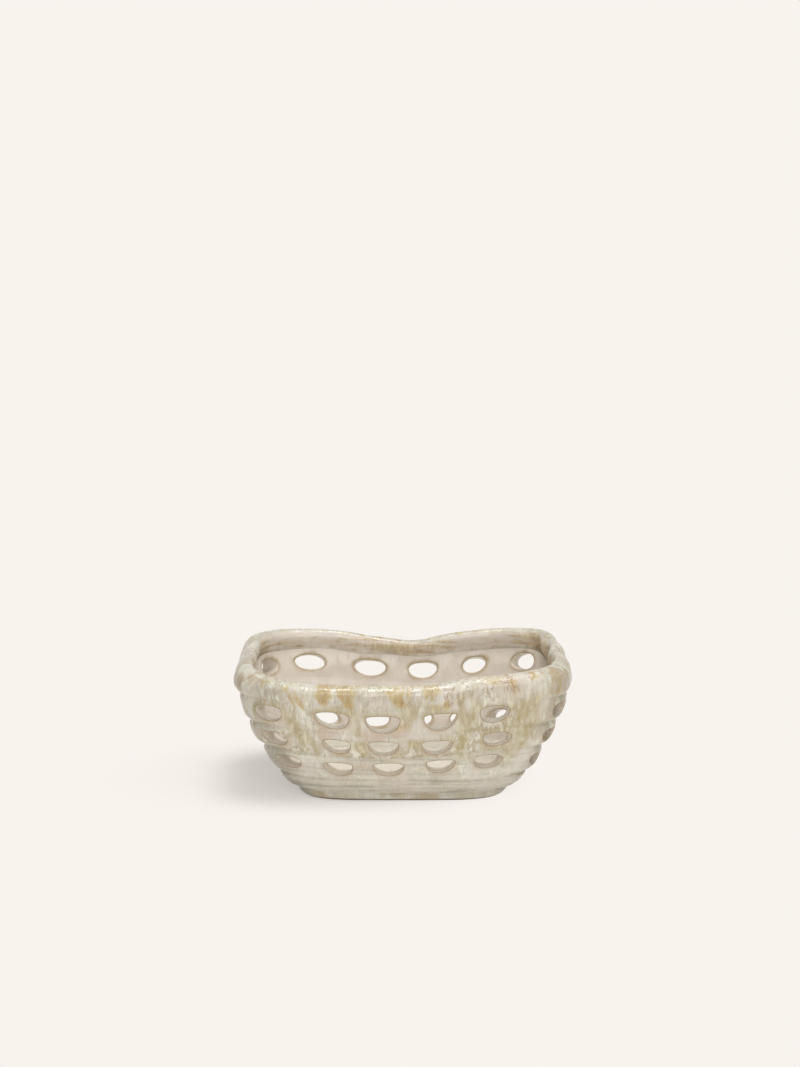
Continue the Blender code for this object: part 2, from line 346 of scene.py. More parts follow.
@dataclass
class BasketForm:
    """Shape that all the coils share: squared plan, seams, and the faces of the wall.

    halves are the wall's outer half length and half depth at each seam.
    """

    halves: dict[Seam, Half]
    slab_top: float
    walls: tuple[float, ...] = (0.0150, 0.0140, 0.0125, 0.0110, 0.0100)
    plain_course_top: float = 0.0215
    plain_course_end_lift: float = 0.0025
    rim_seam_above_holes: float = 0.0125
    squareness: float = 4.4
    station_sharpness: float = 30.0
    swell_roundness: float = 0.7
    side_swell: float = 0.15
    side_softness: float = 0.09
    smooth_from: float = 3.2
    end_swell: float = 0.32
    end_sag: float = 0.6
    end_softness: float = 0.035
    end_notch: float = 0.20
    notch_width: float = 0.10
    inner_swell: float = 0.0004
    corner_from: float = 0.70
    levels: Array = field(init=False)
    plain_face: list[Array] = field(init=False)
    side_face: list[Array] = field(init=False)
    end_face: list[Array] = field(init=False)

    def __post_init__(self) -> None:
        """Works out the wall's profiles: plain, along the sides and round the ends."""
        self.levels = np.linspace(-1.0, 5.0, LEVEL_STEPS + 1)
        seams = np.arange(-1.0, 6.0)
        course = np.floor(self.levels)
        share = self.levels - course
        sagged = share**self.end_sag
        hump, sag = ((4.0 * s * (1.0 - s)) ** self.swell_roundness for s in (share, sagged))
        self.plain_face, self.side_face, self.end_face = [], [], []
        for axis in (0, 1):
            known = [self.halves[seam][axis] for seam in Seam]
            halves = np.array([2 * known[0] - known[1], *known, 2 * known[-1] - known[-2]])
            plain = np.interp(self.levels, seams, halves)
            course_growth = np.interp(course + 0.5, seams[:-1] + 0.5, np.diff(halves))
            under_rim = smoothstep((self.levels - self.smooth_from) / (Seam.UPPER.value - self.smooth_from))
            self.plain_face.append(plain)
            smooth = plain + self.side_swell * hump * course_growth * (1.0 - under_rim)
            self.side_face.append(self.softened(smooth, self.side_softness))
            growth = np.interp(self.levels, seams[:-1] + 0.5, np.diff(halves))
            notch = growth * np.exp(-((np.minimum(share, 1.0 - share) / self.notch_width) ** 2))
            lumpy = plain + self.end_swell * sag * course_growth - self.end_notch * notch
            self.end_face.append(self.softened(lumpy, self.end_softness))

    def softened(self, profile: Array, softness: float) -> Array:
        """Softens a profile's grooves, as glaze fills them.

        Args:
            profile: Half size at each of the levels.
            softness: Spread of the softening, in courses.

        Returns:
            The softened profile.
        """
        spread = np.linspace(-3.0, 3.0, SOFTENING_STEPS + 1)
        weights = np.exp(-0.5 * spread**2)
        shifted = [np.interp(self.levels + softness * s, self.levels, profile) for s in spread]
        return (weights / weights.sum()) @ np.array(shifted)

    @classmethod
    def from_frame(cls) -> "BasketForm":
        """Reads the half sizes at the seams from the boxes of the CAD nodes.

        Returns:
            The form over this frame.
        """
        nodes = {
            Seam.SLAB: "base_slab",
            Seam.PLAIN: "plain_course",
            Seam.LOWER: "lower_pierced_course",
            Seam.MIDDLE: "middle_pierced_course",
            Seam.UPPER: "upper_pierced_course",
        }
        halves = {}
        for seam, node in nodes.items():
            low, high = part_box(node)
            halves[seam] = ((high.x - low.x) / 2, (high.y - low.y) / 2)
        return cls(halves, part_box("base_slab")[1].z)

    def station_mean(self, direction: Array, stations: list[tuple[float, float]]) -> Array:
        """Runs smoothly round the basket through stations, the nearest counting most.

        Args:
            direction: Directions in plan, in radians.
            stations: Bearing in degrees and value of each station.

        Returns:
            The value in each direction.
        """
        bearings = np.radians([bearing for bearing, _ in stations])
        values = np.array([value for _, value in stations])
        nearness = np.cos(np.asarray(direction)[..., None] - bearings) - 1.0
        weights = np.exp(self.station_sharpness * nearness)
        return (weights @ values) / weights.sum(axis=-1)

    def hole_height(self, direction: Array, row: int) -> Array:
        """Height of the middle of a row of holes; row 0 is the lowest."""
        return self.station_mean(direction, [(c.bearings[row], c.heights[row]) for c in HOLE_COLUMNS])

    def seam_height(self, direction: Array, seam: Seam) -> Array:
        """Gives the height of a seam's edge: the upper ones follow the rows of holes.

        Args:
            direction: Directions in plan, in radians.
            seam: Which seam.

        Returns:
            Its height in each direction.
        """
        direction = np.asarray(direction, float)
        if seam is Seam.SLAB:
            return np.full(direction.shape, self.slab_top)
        if seam is Seam.PLAIN:
            return self.plain_course_top + self.plain_course_end_lift * np.cos(direction) ** 2
        if seam is Seam.UPPER:
            return self.hole_height(direction, 2) + self.rim_seam_above_holes
        row = seam.value - Seam.LOWER.value
        return (self.hole_height(direction, row) + self.hole_height(direction, row + 1)) / 2

    def crest_height(self, direction: Array) -> Array:
        """Height of the rim's crest."""
        return self.station_mean(direction, list(RIM_CREST))

    def reach(self, direction: Array, length: Array, depth: Array) -> Array:
        """Distance from the middle to the squared plan of a half length and half depth."""
        shares = (np.abs(np.cos(direction)) / length, np.abs(np.sin(direction)) / depth)
        return sum(share**self.squareness for share in shares) ** (-1.0 / self.squareness)

    def outward(self, direction: Array) -> Array:
        """Level unit vectors that face straight out of the plan.

        Args:
            direction: Directions in plan, in radians.

        Returns:
            Array of x and y for each direction.
        """
        length, depth = self.halves[Seam.MIDDLE]
        reach = self.reach(direction, length, depth)
        power = self.squareness - 1.0
        x, y = reach * np.cos(direction), reach * np.sin(direction)
        normal = np.stack(
            [
                np.sign(x) * (np.abs(x) / length) ** power / length,
                np.sign(y) * (np.abs(y) / depth) ** power / depth,
            ],
            axis=-1,
        )
        return normal / np.linalg.norm(normal, axis=-1, keepdims=True)

    def endness(self, direction: Array) -> Array:
        """Tells the ends from the long sides.

        Args:
            direction: Directions in plan, in radians.

        Returns:
            0 along the front and back, 1 round the corners and ends.
        """
        length, depth = self.halves[Seam.UPPER]
        x = self.reach(direction, length, depth) * np.abs(np.cos(direction)) / length
        return smoothstep((x - self.corner_from) / (1.0 - self.corner_from))

    def level(self, direction: Array, foot: Seam, height: Array) -> Array:
        """Position up the wall, in courses from the slab, of a height in the course above a seam."""
        low, high = (self.seam_height(direction, seam) for seam in (foot, Seam(foot.value + 1)))
        return foot.value + (height - low) / (high - low)

    def halves_at(self, faces: list[Array], level: Array) -> list[Array]:
        """Half length and half depth of a face of the wall at a level."""
        return [np.interp(level, self.levels, face) for face in faces]

    def face(self, skin: Skin, direction: Array, level: Array, height: Array) -> Array:
        """Gives points on one face of the wall.

        Args:
            skin: Outer or inner face.
            direction: Directions in plan, in radians.
            level: Position up the wall, in courses counted from the slab.
            height: Height of each point.

        Returns:
            Array of points.
        """
        if skin is Skin.OUTER:
            end = self.endness(direction)
            sides, ends = (self.halves_at(faces, level) for faces in (self.side_face, self.end_face))
            length, depth = (mixed(side, around, end) for side, around in zip(sides, ends))
        else:
            wall = np.interp(level, np.arange(len(self.walls)), self.walls)
            wall = wall + self.inner_swell * np.sin(np.pi * level) ** 2
            length, depth = (half - wall for half in self.halves_at(self.plain_face, level))
        return self.point(direction, length, depth, height)

    def point(
        self, direction: Array, length: Array, depth: Array, height: Array
    ) -> Array:
        """Points on the squared plan of a half length and half depth, at a height."""
        plan = (self.reach(direction, length, depth) * turn(direction) for turn in (np.cos, np.sin))
        return np.stack(np.broadcast_arrays(*plan, height), axis=-1)

    def even_directions(self, count: int) -> Array:
        """Directions whose points lie evenly along the plan of the wall's top.

        Args:
            count: Number of directions.

        Returns:
            Directions in radians.
        """
        fine = np.linspace(-math.pi, math.pi, PLAN_STEPS + 1)
        length, depth = self.halves[Seam.UPPER]
        points = self.point(fine, length, depth, 0.0)
        steps = np.linalg.norm(np.diff(points, axis=0), axis=1)
        walked = np.concatenate([[0.0], np.cumsum(steps)])
        return np.interp(np.arange(count) / count * walked[-1], walked, fine)


@dataclass(frozen=True)
class Kneading:
    """The hand's unevenness: soft waves pressed in and out of the clay, the same for every piece."""

    wave: float = 0.0011
    wave_scale: float = 24.0
    dimple: float = 0.00055
    dimple_scale: float = 75.0
    sway: float = 0.0007
    sway_scale: float = 30.0
    steady_below: float = 0.004
    free_above: float = 0.030
    least_push: float = 0.35
    dimple_shift: Triple = (7.0, 3.0, 1.0)
    sway_shift: Triple = (2.0, 9.0, 4.0)

    def press(self, form: BasketForm, points: Array) -> Array:
        """Moves points by their place alone, so that pieces which meet stay together.

        Args:
            form: The basket's form, for the direction to press in.
            points: Points of any array shape.

        Returns:
            The moved points.
        """
        flat = points.reshape(-1, 3)
        free = smoothstep((flat[:, 2] - self.steady_below) / (self.free_above - self.steady_below))
        push = np.empty(len(flat))
        sway = np.empty(len(flat))
        for index, spot in enumerate(flat):
            place = Vector(spot)
            push[index] = self.wave * noise.noise(place * self.wave_scale)
            push[index] += self.dimple * noise.noise(place * self.dimple_scale + Vector(self.dimple_shift))
            sway[index] = self.sway * noise.noise(place * self.sway_scale + Vector(self.sway_shift))
        normal = form.outward(np.arctan2(flat[:, 1], flat[:, 0]))
        moved = flat.copy()
        moved[:, :2] += normal * (push * mixed(self.least_push, 1.0, free))[:, None]
        moved[:, 2] += sway * free
        return moved.reshape(points.shape)


@dataclass
class RingField:
    """Points of a coil: rows along its section, columns round the plan, and marks on each point.

    A closed section comes back to its first row. An open one ends in two poles.
    """

    points: Array
    marks: dict[str, Array]
    sharp_rows: tuple[int, ...] = ()
    closed: bool = True


def wrap_ring(ring: RingField, holes: tuple[Block, ...] = ()) -> tuple[bmesh.types.BMesh, VertGrid]:
    """Wraps a flat grid of clay into a coil.

    Args:
        ring: Where the grid's points go, and their marks.
        holes: Blocks of grid faces to leave out: first and last row, first and last column.

    Returns:
        The mesh, and its vertices by row and column.
    """
    rows, columns = ring.points.shape[:2]
    bm = bmesh.new()
    spans = rows if ring.closed else rows - 1
    bmesh.ops.create_grid(bm, x_segments=columns, y_segments=spans, size=1.0)
    bm.verts.ensure_lookup_table()
    bm.faces.ensure_lookup_table()
    layers = {name: bm.verts.layers.float.new(name) for name in ring.marks}
    grid = []
    for row in range(spans + 1):
        line = []
        for column in range(columns + 1):
            vert = bm.verts[row * (columns + 1) + column]
            vert.co = ring.points[row % rows, column % columns]
            for name, layer in layers.items():
                vert[layer] = ring.marks[name][row % rows, column % columns]
            line.append(vert)
        grid.append(line)
    for row in ring.sharp_rows:
        for first, second in zip(grid[row], grid[row][1:]):
            bm.edges.get((first, second)).smooth = False
    cut = [
        bm.faces[row * columns + column]
        for low, high, left, right in holes
        for row in range(low, high)
        for column in range(left, right)
    ]
    bmesh.ops.delete(bm, geom=cut, context="FACES")
    bmesh.ops.remove_doubles(bm, verts=bm.verts, dist=WELD_DISTANCE)
    return bm, grid


def face_order(face: bmesh.types.BMFace) -> int:
    """Key that sorts faces by their vertices, so that every run orders them alike."""
    first, second, *_, last = sorted(vert.index for vert in face.verts)
    return (first * MOST_VERTICES + last) * MOST_VERTICES + second


def path_through(stops: Array, shares: Array) -> Array:
    """Draws a smooth open path through stops.

    Args:
        stops: Points in the plane, in order.
        shares: Where along the path to take points, from 0 to 1.

    Returns:
        The points.
    """
    ends = np.vstack([2 * stops[0] - stops[1], stops, 2 * stops[-1] - stops[-2]])
    pieces = []
    share = np.linspace(0.0, 1.0, PATH_STEPS, endpoint=False)[:, None]
    for before, start, stop, after in zip(ends, ends[1:], ends[2:], ends[3:]):
        bend = 2 * before - 5 * start + 4 * stop - after
        twist = 3 * start - before - 3 * stop + after
        pieces.append(start + 0.5 * ((stop - before) * share + bend * share**2 + twist * share**3))
    fine = np.vstack([*pieces, stops[-1:]])
    walked = np.concatenate([[0.0], np.cumsum(np.linalg.norm(np.diff(fine, axis=0), axis=1))])
    return np.stack([np.interp(shares * walked[-1], walked, fine[:, axis]) for axis in (0, 1)], axis=-1)


@dataclass(frozen=True)
class ScatteredRuns:
    """Runs of one tone that are scattered where the front's pattern doesn't reach.

    chance is how often a place has one. A size is one number, or a low and a high one to draw between.
    """

    tone: Tone
    chance: float
    top: float | Half
    drop: float | Half
    width: float | Half
    strength: Half

    def drawn(self, draw: random.Random, bearing: float) -> GlazeRun:
        """Draws one run.

        Args:
            draw: Source of chance.
            bearing: Where it starts, in degrees.

        Returns:
            The run.
        """
        sizes = []
        for size in (self.top, self.drop, self.width, self.strength):
            sizes.append(draw.uniform(*size) if isinstance(size, tuple) else size)
        return GlazeRun(self.tone, bearing, *sizes)


SCATTERED_RUNS = (
    ScatteredRuns(Tone.OCHRE, 0.70, 0.1180, (0.006, 0.024), (0.004, 0.011), (0.5, 1.0)),
    ScatteredRuns(Tone.OLIVE, 0.55, (0.070, 0.096), (0.020, 0.050), (0.005, 0.011), (0.5, 0.9)),
    ScatteredRuns(Tone.MIST, 0.40, 0.1100, 0.0220, 0.012, (0.4, 0.8)),
    ScatteredRuns(Tone.BLUSH, 0.40, 0.0600, 0.0400, 0.025, (0.4, 0.8)),
    ScatteredRuns(Tone.CRACKLE, 0.40, 0.1180, 0.0260, 0.016, (0.5, 1.0)),
)


@dataclass
class GlazeChart:
    """Where each tone of glaze lies: the runs seen on the front, and scattered ones round the rest.

    A run narrows by its taper as it falls, and fades in and out over shares of its drop. The rest's
    bearings are the first, the end and the step, in degrees.
    """

    seed: int = 11
    edge_power: float = 2.5
    taper: float = 0.75
    fade_in: Half = (-0.50, 0.20)
    fade_out: Half = (1.15, 0.75)
    rest: tuple[int, int, int] = (-30, 215, 9)
    shuffle: float = 4.0
    runs: list[GlazeRun] = field(default_factory=list)

    def __post_init__(self) -> None:
        """Adds scattered runs on the ends and the back to those of the front."""
        draw = random.Random(self.seed)
        self.runs = [GlazeRun(tone, *sizes) for tone, runs in FRONT_RUNS.items() for sizes in runs]
        for bearing in range(*self.rest):
            place = bearing + draw.uniform(-self.shuffle, self.shuffle)
            self.runs += [kind.drawn(draw, place) for kind in SCATTERED_RUNS if draw.random() < kind.chance]

    def paint(self, points: Array) -> dict[str, Array]:
        """Works out how much of each tone is on each point.

        Args:
            points: Points of any array shape.

        Returns:
            Amount of each tone, by its attribute name.
        """
        direction = np.arctan2(points[..., 1], points[..., 0])
        reach = np.hypot(points[..., 0], points[..., 1])
        amounts = {tone.value: np.zeros(points.shape[:-1]) for tone in Tone}
        for run in self.runs:
            fallen = (run.top - points[..., 2]) / run.drop
            along = np.radians(turned(direction, run.bearing)) * reach
            along = along - run.lean * np.clip(fallen, 0.0, 1.0)
            width = run.width * np.clip(1.0 - self.taper * fallen, 1.0 - self.taper, 1.0)
            across = np.exp(-(np.abs(along / width) ** self.edge_power))
            amount = run.strength * across
            for start, stop in (self.fade_in, self.fade_out):
                amount = amount * smoothstep((fallen - start) / (stop - start))
            amounts[run.tone.value] = np.maximum(amounts[run.tone.value], amount)
        return amounts


@dataclass
class Workshop:
    """What every piece of the basket is made with."""

    form: BasketForm
    kneading: Kneading
    chart: GlazeChart

    def marks(self, points: Array, **known: Array) -> dict[str, Array]:
        """Marks for a set of points: the glaze's tones, and the given marks with the others at rest.

        Args:
            points: Points of any array shape.
            known: Marks that the piece has worked out itself.

        Returns:
            All the marks, by attribute name.
        """
        shape = points.shape[:-1]
        marks = {mark.value: np.zeros(shape) for mark in Mark}
        marks[Mark.EDGE.value] += FAR_FROM_EDGES
        marks[Mark.END.value] += self.form.endness(np.arctan2(points[..., 1], points[..., 0]))
        marks.update({name: np.broadcast_to(value, shape) for name, value in known.items()})
        marks.update(self.chart.paint(points))
        return marks


@dataclass
class ClayPiece:
    """One piece of clay: the CAD node that it stands for, and the name of the slot for its finish."""

    shop: Workshop
    node: str
    slot: str

    def shape(self) -> bmesh.types.BMesh:
        """Makes the piece's mesh."""
        raise NotImplementedError

    def build(self, material: Material) -> None:
        """Makes the piece and puts it in the place of its CAD node.

        Args:
            material: Its finish.
        """
        bm = self.shape()
        bm.verts.index_update()
        bm.faces.sort(key=face_order)
        bmesh.ops.recalc_face_normals(bm, faces=bm.faces)
        for face in bm.faces:
            face.smooth = True
        mesh = bpy.data.meshes.new(f"{self.node}_looks")
        bm.to_mesh(mesh)
        bm.free()
        mesh.materials.append(material)
        piece = bpy.data.objects.new(f"{self.node}_looks", mesh)
        bpy.context.scene.collection.objects.link(piece)
        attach(piece, "root")
        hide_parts(self.node)
        LOG.info("%s: %d faces, slot %s", piece.name, len(mesh.polygons), self.slot)


@dataclass
class WallCoil(ClayPiece):
    """A coil of the wall between two seams."""

    foot: Seam
    joint_steps: int = 4
    crown: float = 0.0010
    hidden_gap: float = 0.0002
    groove_width: float = 0.0030
    slab_groove: float = 0.3

    def closed(self, outer: Array, inner: Array) -> Array:
        """Joins the two faces of the wall into a whole section with the hidden faces of the seams.

        Args:
            outer: Points of the outer face, rows upwards.
            inner: Points of the inner face, rows upwards.

        Returns:
            Points of the closed section.
        """
        shares = np.arange(1, self.joint_steps) / self.joint_steps
        over, under = [], []
        for share in shares:
            hump = 4 * share * (1 - share) * self.crown
            top = mixed(outer[-1], inner[-1], share)
            over.append(top + np.array([0.0, 0.0, hump]))
            base = mixed(inner[0], outer[0], share)
            under.append(base + np.array([0.0, 0.0, hump + self.hidden_gap]))
        return np.concatenate([outer, np.array(over), inner[::-1], np.array(under)])

    def closed_marks(self, outer: Array, inner: Array) -> Array:
        """The same joining for a mark on the points."""
        over, under = (np.repeat(row, self.joint_steps - 1, axis=0) for row in (outer[-1:], outer[:1]))
        return np.concatenate([outer, over, inner[::-1], under])

    @property
    def head(self) -> Seam:
        """The seam at the coil's top."""
        return Seam(self.foot.value + 1)

    def seam_gaps(self, direction: Array, height: Array) -> tuple[Array, Array]:
        """How far heights are above the lower seam and below the upper one."""
        low, high = (self.shop.form.seam_height(direction, seam) for seam in (self.foot, self.head))
        return height - low, high - height

    def away_from_seams(self, direction: Array, height: Array) -> Array:
        """0 on the seams, rising to 1 a little way above and below them."""
        return smoothstep(np.minimum(*self.seam_gaps(direction, height)) / self.groove_width)

    def groove(self, direction: Array, height: Array) -> Array:
        """How near heights are to the seams: 1 in the groove, fading out above and below it.

        Args:
            direction: Directions in plan, in radians.
            height: Height of each point.

        Returns:
            The nearness of each point.
        """
        gaps = self.seam_gaps(direction, height)
        lower, upper = (np.exp(-((gap / self.groove_width) ** 2)) for gap in gaps)
        if self.foot is Seam.SLAB:
            lower = lower * self.slab_groove
        if self.head is Seam.UPPER:
            upper = upper * self.shop.form.endness(direction)
        return np.maximum(lower, upper)


@dataclass
class PlainCourse(WallCoil):
    """Lowest coil of the wall, with no holes and the lines of the potter's fingers."""

    columns: int = 440
    rows: int = 22
    line: float = 0.00022
    line_pitch: float = 0.0042
    line_wander: float = 1.5

    def shape(self) -> bmesh.types.BMesh:
        """Makes the coil.

        Returns:
            Its mesh.
        """
        form = self.shop.form
        direction = np.broadcast_to(form.even_directions(self.columns), (self.rows + 1, self.columns))
        share = seam_shares(self.rows)[:, None]
        level = self.foot.value + np.broadcast_to(share, direction.shape)
        low = form.seam_height(direction, self.foot)
        height = mixed(low, form.seam_height(direction, self.head), share)
        outer = form.face(Skin.OUTER, direction, level, height)
        inner = form.face(Skin.INNER, direction, level, height)
        wander = self.line_wander * np.sin(2 * direction)
        ripple = self.line * np.sin(math.tau * height / self.line_pitch + wander) * np.sin(math.pi * share)
        outer[..., :2] += form.outward(direction) * ripple[..., None]
        points = self.shop.kneading.press(form, self.closed(outer, inner))
        groove = self.groove(direction, height)
        still = np.zeros(direction.shape)
        marks = self.shop.marks(
            points,
            inside=self.closed_marks(still, still + 1.0),
            groove=self.closed_marks(groove, still),
        )
        seam_rows = (0, self.rows, self.rows + self.joint_steps, 2 * self.rows + self.joint_steps)
        return wrap_ring(RingField(points, marks, seam_rows))[0]


@dataclass
class HoleFrame:
    """Where one hole sits: the middle of its outer edge, the way along the wall and the way out of it.

    For each skin there is the direction in plan of the hole's middle, directions from the middle of one gap
    to the middle of the next, and how far along the wall these fall from the hole's middle.
    """

    centre: Array
    along: Array
    outward: Array
    rise: float
    middles: dict[Skin, float]
    half_widths: dict[Skin, float]
    directions: dict[Skin, Array] = field(default_factory=dict)
    reaches: dict[Skin, Array] = field(default_factory=dict)

    def direction_at(self, skin: Skin, along: Array) -> Array:
        """Directions in plan of places along the wall, measured level from the hole's middle."""
        return np.interp(along, self.reaches[skin], self.directions[skin])


@dataclass
class PiercedCourse(WallCoil):
    """Coil of the wall with a row of oval holes cut level through it."""

    row: int = 0
    hole_height: float = 0.0116
    bore_level: float = 0.7
    inner_brow: float = 0.46
    oval_power: float = 2.15
    back_drop: float = 0.0030
    back_from: Half = (0.3, 0.6)
    lip_puff: float = 0.0008
    lip_puff_width: float = 3.5
    outer_lip: float = 0.0011
    inner_lip: float = 0.0016
    least_gap: float = 0.0008
    search_angle: float = 0.45
    search_steps: int = 360
    gap_steps: int = 160
    hole_columns: int = 16
    gap_columns: int = 8
    hole_rows: int = 10
    band_rows: int = 5
    lip_steps: int = 4
    cut_steps: int = 4

    @property
    def rows(self) -> int:
        """Rows of faces up one skin."""
        return self.hole_rows + 2 * self.band_rows

    @property
    def cell_columns(self) -> int:
        """Columns of faces from the middle of one gap to the middle of the next."""
        return self.hole_columns + 2 * self.gap_columns

    def lip(self, skin: Skin) -> float:
        """Radius of the hole's lip on a skin."""
        return self.outer_lip if skin is Skin.OUTER else self.inner_lip

    def on_skin(self, skin: Skin, direction: Array, height: Array) -> Array:
        """Points of a skin at heights within this coil."""
        level = self.shop.form.level(direction, self.foot, height)
        return self.shop.form.face(skin, direction, level, height)

    def row_face(self, skin: Skin, direction: Array) -> Array:
        """Points of a skin along the middle line of this row of holes."""
        return self.on_skin(skin, direction, self.shop.form.hole_height(direction, self.row))

    def hole_frames(self) -> list[HoleFrame]:
        """Sets out this row's holes, each level through the wall's middle.

        Returns:
            The holes, in order round the basket.
        """
        form = self.shop.form
        low, high = form.halves[self.foot], form.halves[self.head]
        wall = form.walls[self.foot.value]
        length, depth = (mixed(a, b, self.bore_level) - wall / 2 for a, b in zip(low, high))
        frames = []
        for column in HOLE_COLUMNS:
            here = np.array([math.radians(column.bearings[self.row])])
            x, y = form.outward(here)[0]
            along = np.array([-y, x, 0.0])
            centre = form.point(here, length, depth, column.heights[self.row])[0]
            nearby = here + np.linspace(-self.search_angle, self.search_angle, self.search_steps + 1)
            middles = {}
            for skin in Skin:
                reaches = (self.row_face(skin, nearby) - centre) @ along
                middles[skin] = float(np.interp(0.0, reaches, nearby))
            widths = {skin: column.widths[self.row] / 2 for skin in Skin}
            rise = column.heights[self.row] - float(form.hole_height(here, self.row)[0])
            frames.append(HoleFrame(centre, along, np.array([x, y, 0.0]), rise, middles, widths))
        for skin in Skin:
            middles = [frame.middles[skin] for frame in frames]
            around = [middles[-1] - math.tau, *middles, middles[0] + math.tau]
            for frame, before, here, after in zip(frames, around, around[1:], around[2:]):
                first, last = (before + here) / 2, (here + after) / 2
                frame.directions[skin] = np.linspace(first, last, self.gap_steps + 1)
                reaches = (self.row_face(skin, frame.directions[skin]) - frame.centre) @ frame.along
                room = min(-reaches[0], reaches[-1]) - self.lip(skin) - self.least_gap
                frame.half_widths[skin] = min(frame.half_widths[skin], room)
                frame.reaches[skin] = reaches
        return frames

    def brow(self, skin: Skin, direction: Array) -> Array:
        """Gives the share of a hole's height above its tips.

        Args:
            skin: Outer or inner face.
            direction: Directions in plan, in radians.

        Returns:
            The share, which changes smoothly from one hole to the next.
        """
        if skin is Skin.INNER:
            return np.full(np.shape(direction), self.inner_brow)
        stations = [(c.bearings[self.row], c.brow) for c in HOLE_COLUMNS]
        return self.shop.form.station_mean(direction, stations)

    def half_height(self, skin: Skin, direction: Array, above: Array) -> Array:
        """Height of a hole from its tips to its brow, or down to its lower edge.

        Args:
            skin: Outer or inner face.
            direction: Directions in plan, in radians.
            above: True for points above the tips.

        Returns:
            The height in each direction.
        """
        stations = [(c.bearings[self.row], c.height_share * self.hole_height) for c in HOLE_COLUMNS]
        whole = self.shop.form.station_mean(direction, stations)
        brow = self.brow(skin, direction)
        return whole * np.where(above, brow, 1.0 - brow)

    def hole_middle(self, frame: HoleFrame, skin: Skin, direction: Array) -> Array:
        """Gives the height of a hole's middle line, which leans with its row.

        Args:
            frame: The hole.
            skin: Outer or inner face.
            direction: Directions in plan, in radians.

        Returns:
            The height in each direction.
        """
        middle = frame.middles[skin]
        first, last = frame.directions[skin][0], frame.directions[skin][-1]
        side = np.where(direction < middle, middle - first, last - middle)
        near = 1.0 - smoothstep(np.abs(direction - middle) / side)
        tips = (0.5 - self.brow(skin, direction)) * self.hole_height
        if skin is Skin.OUTER:
            start, stop = self.back_from
            tips = tips - self.back_drop * smoothstep((np.sin(direction) - start) / (stop - start))
        return self.shop.form.hole_height(direction, self.row) + frame.rise * near + tips

    def spot(self, frame: HoleFrame, skin: Skin, along: Array, up: Array) -> Array:
        """Gives points on a skin from places seen square on to a hole.

        Args:
            frame: The hole.
            skin: Outer or inner face.
            along: Distance along the wall from the hole's middle.
            up: Height over the hole's middle line.

        Returns:
            Points on the skin.
        """
        direction = frame.direction_at(skin, along)
        height = self.hole_middle(frame, skin, direction) + up
        points = self.on_skin(skin, direction, height)
        if skin is Skin.INNER:
            return points
        tall = self.half_height(skin, direction, up > 0)
        distance = self.edge_distance(frame.half_widths[skin], tall, along, up)
        puff = self.lip_puff * np.exp(-((distance / self.lip_puff_width) ** 2))
        puff = puff * self.away_from_seams(direction, height)
        return points + puff[..., None] * frame.outward

    def cell(self, frame: HoleFrame, skin: Skin) -> tuple[Array, Array]:
        """Lays the grid of one skin from gap to gap, drawn round the hole.

        Args:
            frame: The hole in the middle of the cell.
            skin: Outer or inner face.

        Returns:
            Distance along the wall and height over the hole's middle line of each grid point.
        """
        form, lip = self.shop.form, self.lip(skin)
        wide = frame.half_widths[skin] + lip
        left, right = frame.reaches[skin][0], frame.reaches[skin][-1]
        along = np.concatenate(
            [
                np.linspace(left, -wide, self.gap_columns, endpoint=False),
                np.linspace(-wide, wide, self.hole_columns, endpoint=False),
                np.linspace(wide, right, self.gap_columns + 1),
            ]
        )
        direction = frame.direction_at(skin, along)
        middle = self.hole_middle(frame, skin, direction)
        low = form.seam_height(direction, self.foot) - middle
        high = form.seam_height(direction, self.head) - middle
        below = self.half_height(skin, direction, False) + lip
        above = self.half_height(skin, direction, True) + lip
        half_rows = self.hole_rows // 2
        band = seam_shares(self.band_rows + 1)[:-1]
        middle_rows = np.linspace(-1.0, 0.0, half_rows, endpoint=False)
        up = np.concatenate(
            [
                [mixed(low, -below, share) for share in band[:-1]],
                [below * share for share in middle_rows],
                [above * (1.0 + share) for share in middle_rows],
                [mixed(high, above, share) for share in band[::-1]],
            ]
        )
        tall = np.where(up < 0, below, above)
        x, y = np.broadcast_to(along / wide, up.shape), up / tall
        edge_x = np.where(along < 0, -left, right) / wide
        edge_y = np.where(up < 0, -low, high) / tall
        beyond = np.maximum((np.abs(x) - 1) / (edge_x - 1), (np.abs(y) - 1) / (edge_y - 1))
        square = np.maximum(np.abs(x), np.abs(y))
        pull = mixed(square / np.maximum(self.oval(x, y), NEARLY_NOTHING), 1.0, smoothstep(beyond))
        return along * pull, up * pull

    def oval(self, along: Array, up: Array) -> Array:
        """Size of the oval through points whose distances are shares of a hole's half width and height."""
        return (np.abs(along) ** self.oval_power + np.abs(up) ** self.oval_power) ** (1.0 / self.oval_power)

    def edge_distance(self, wide: float, tall: Array, along: Array, up: Array) -> Array:
        """Distance of points from the edge of a hole, in millimetres.

        Args:
            wide: Half the hole's width.
            tall: Half the hole's height at each point.
            along: Distance along the wall from the hole's middle.
            up: Height over the hole's middle line.

        Returns:
            Distances, 0 on the edge and inside it.
        """
        x, y = np.abs(along / wide), np.abs(up / tall)
        oval = np.maximum(self.oval(x, y), NEARLY_NOTHING)
        steep = self.oval_power - 1.0
        slope = np.hypot((x / oval) ** steep / wide, (y / oval) ** steep / tall)
        return np.clip((oval - 1.0) / slope / MILLIMETRE, 0.0, FAR_FROM_EDGES)

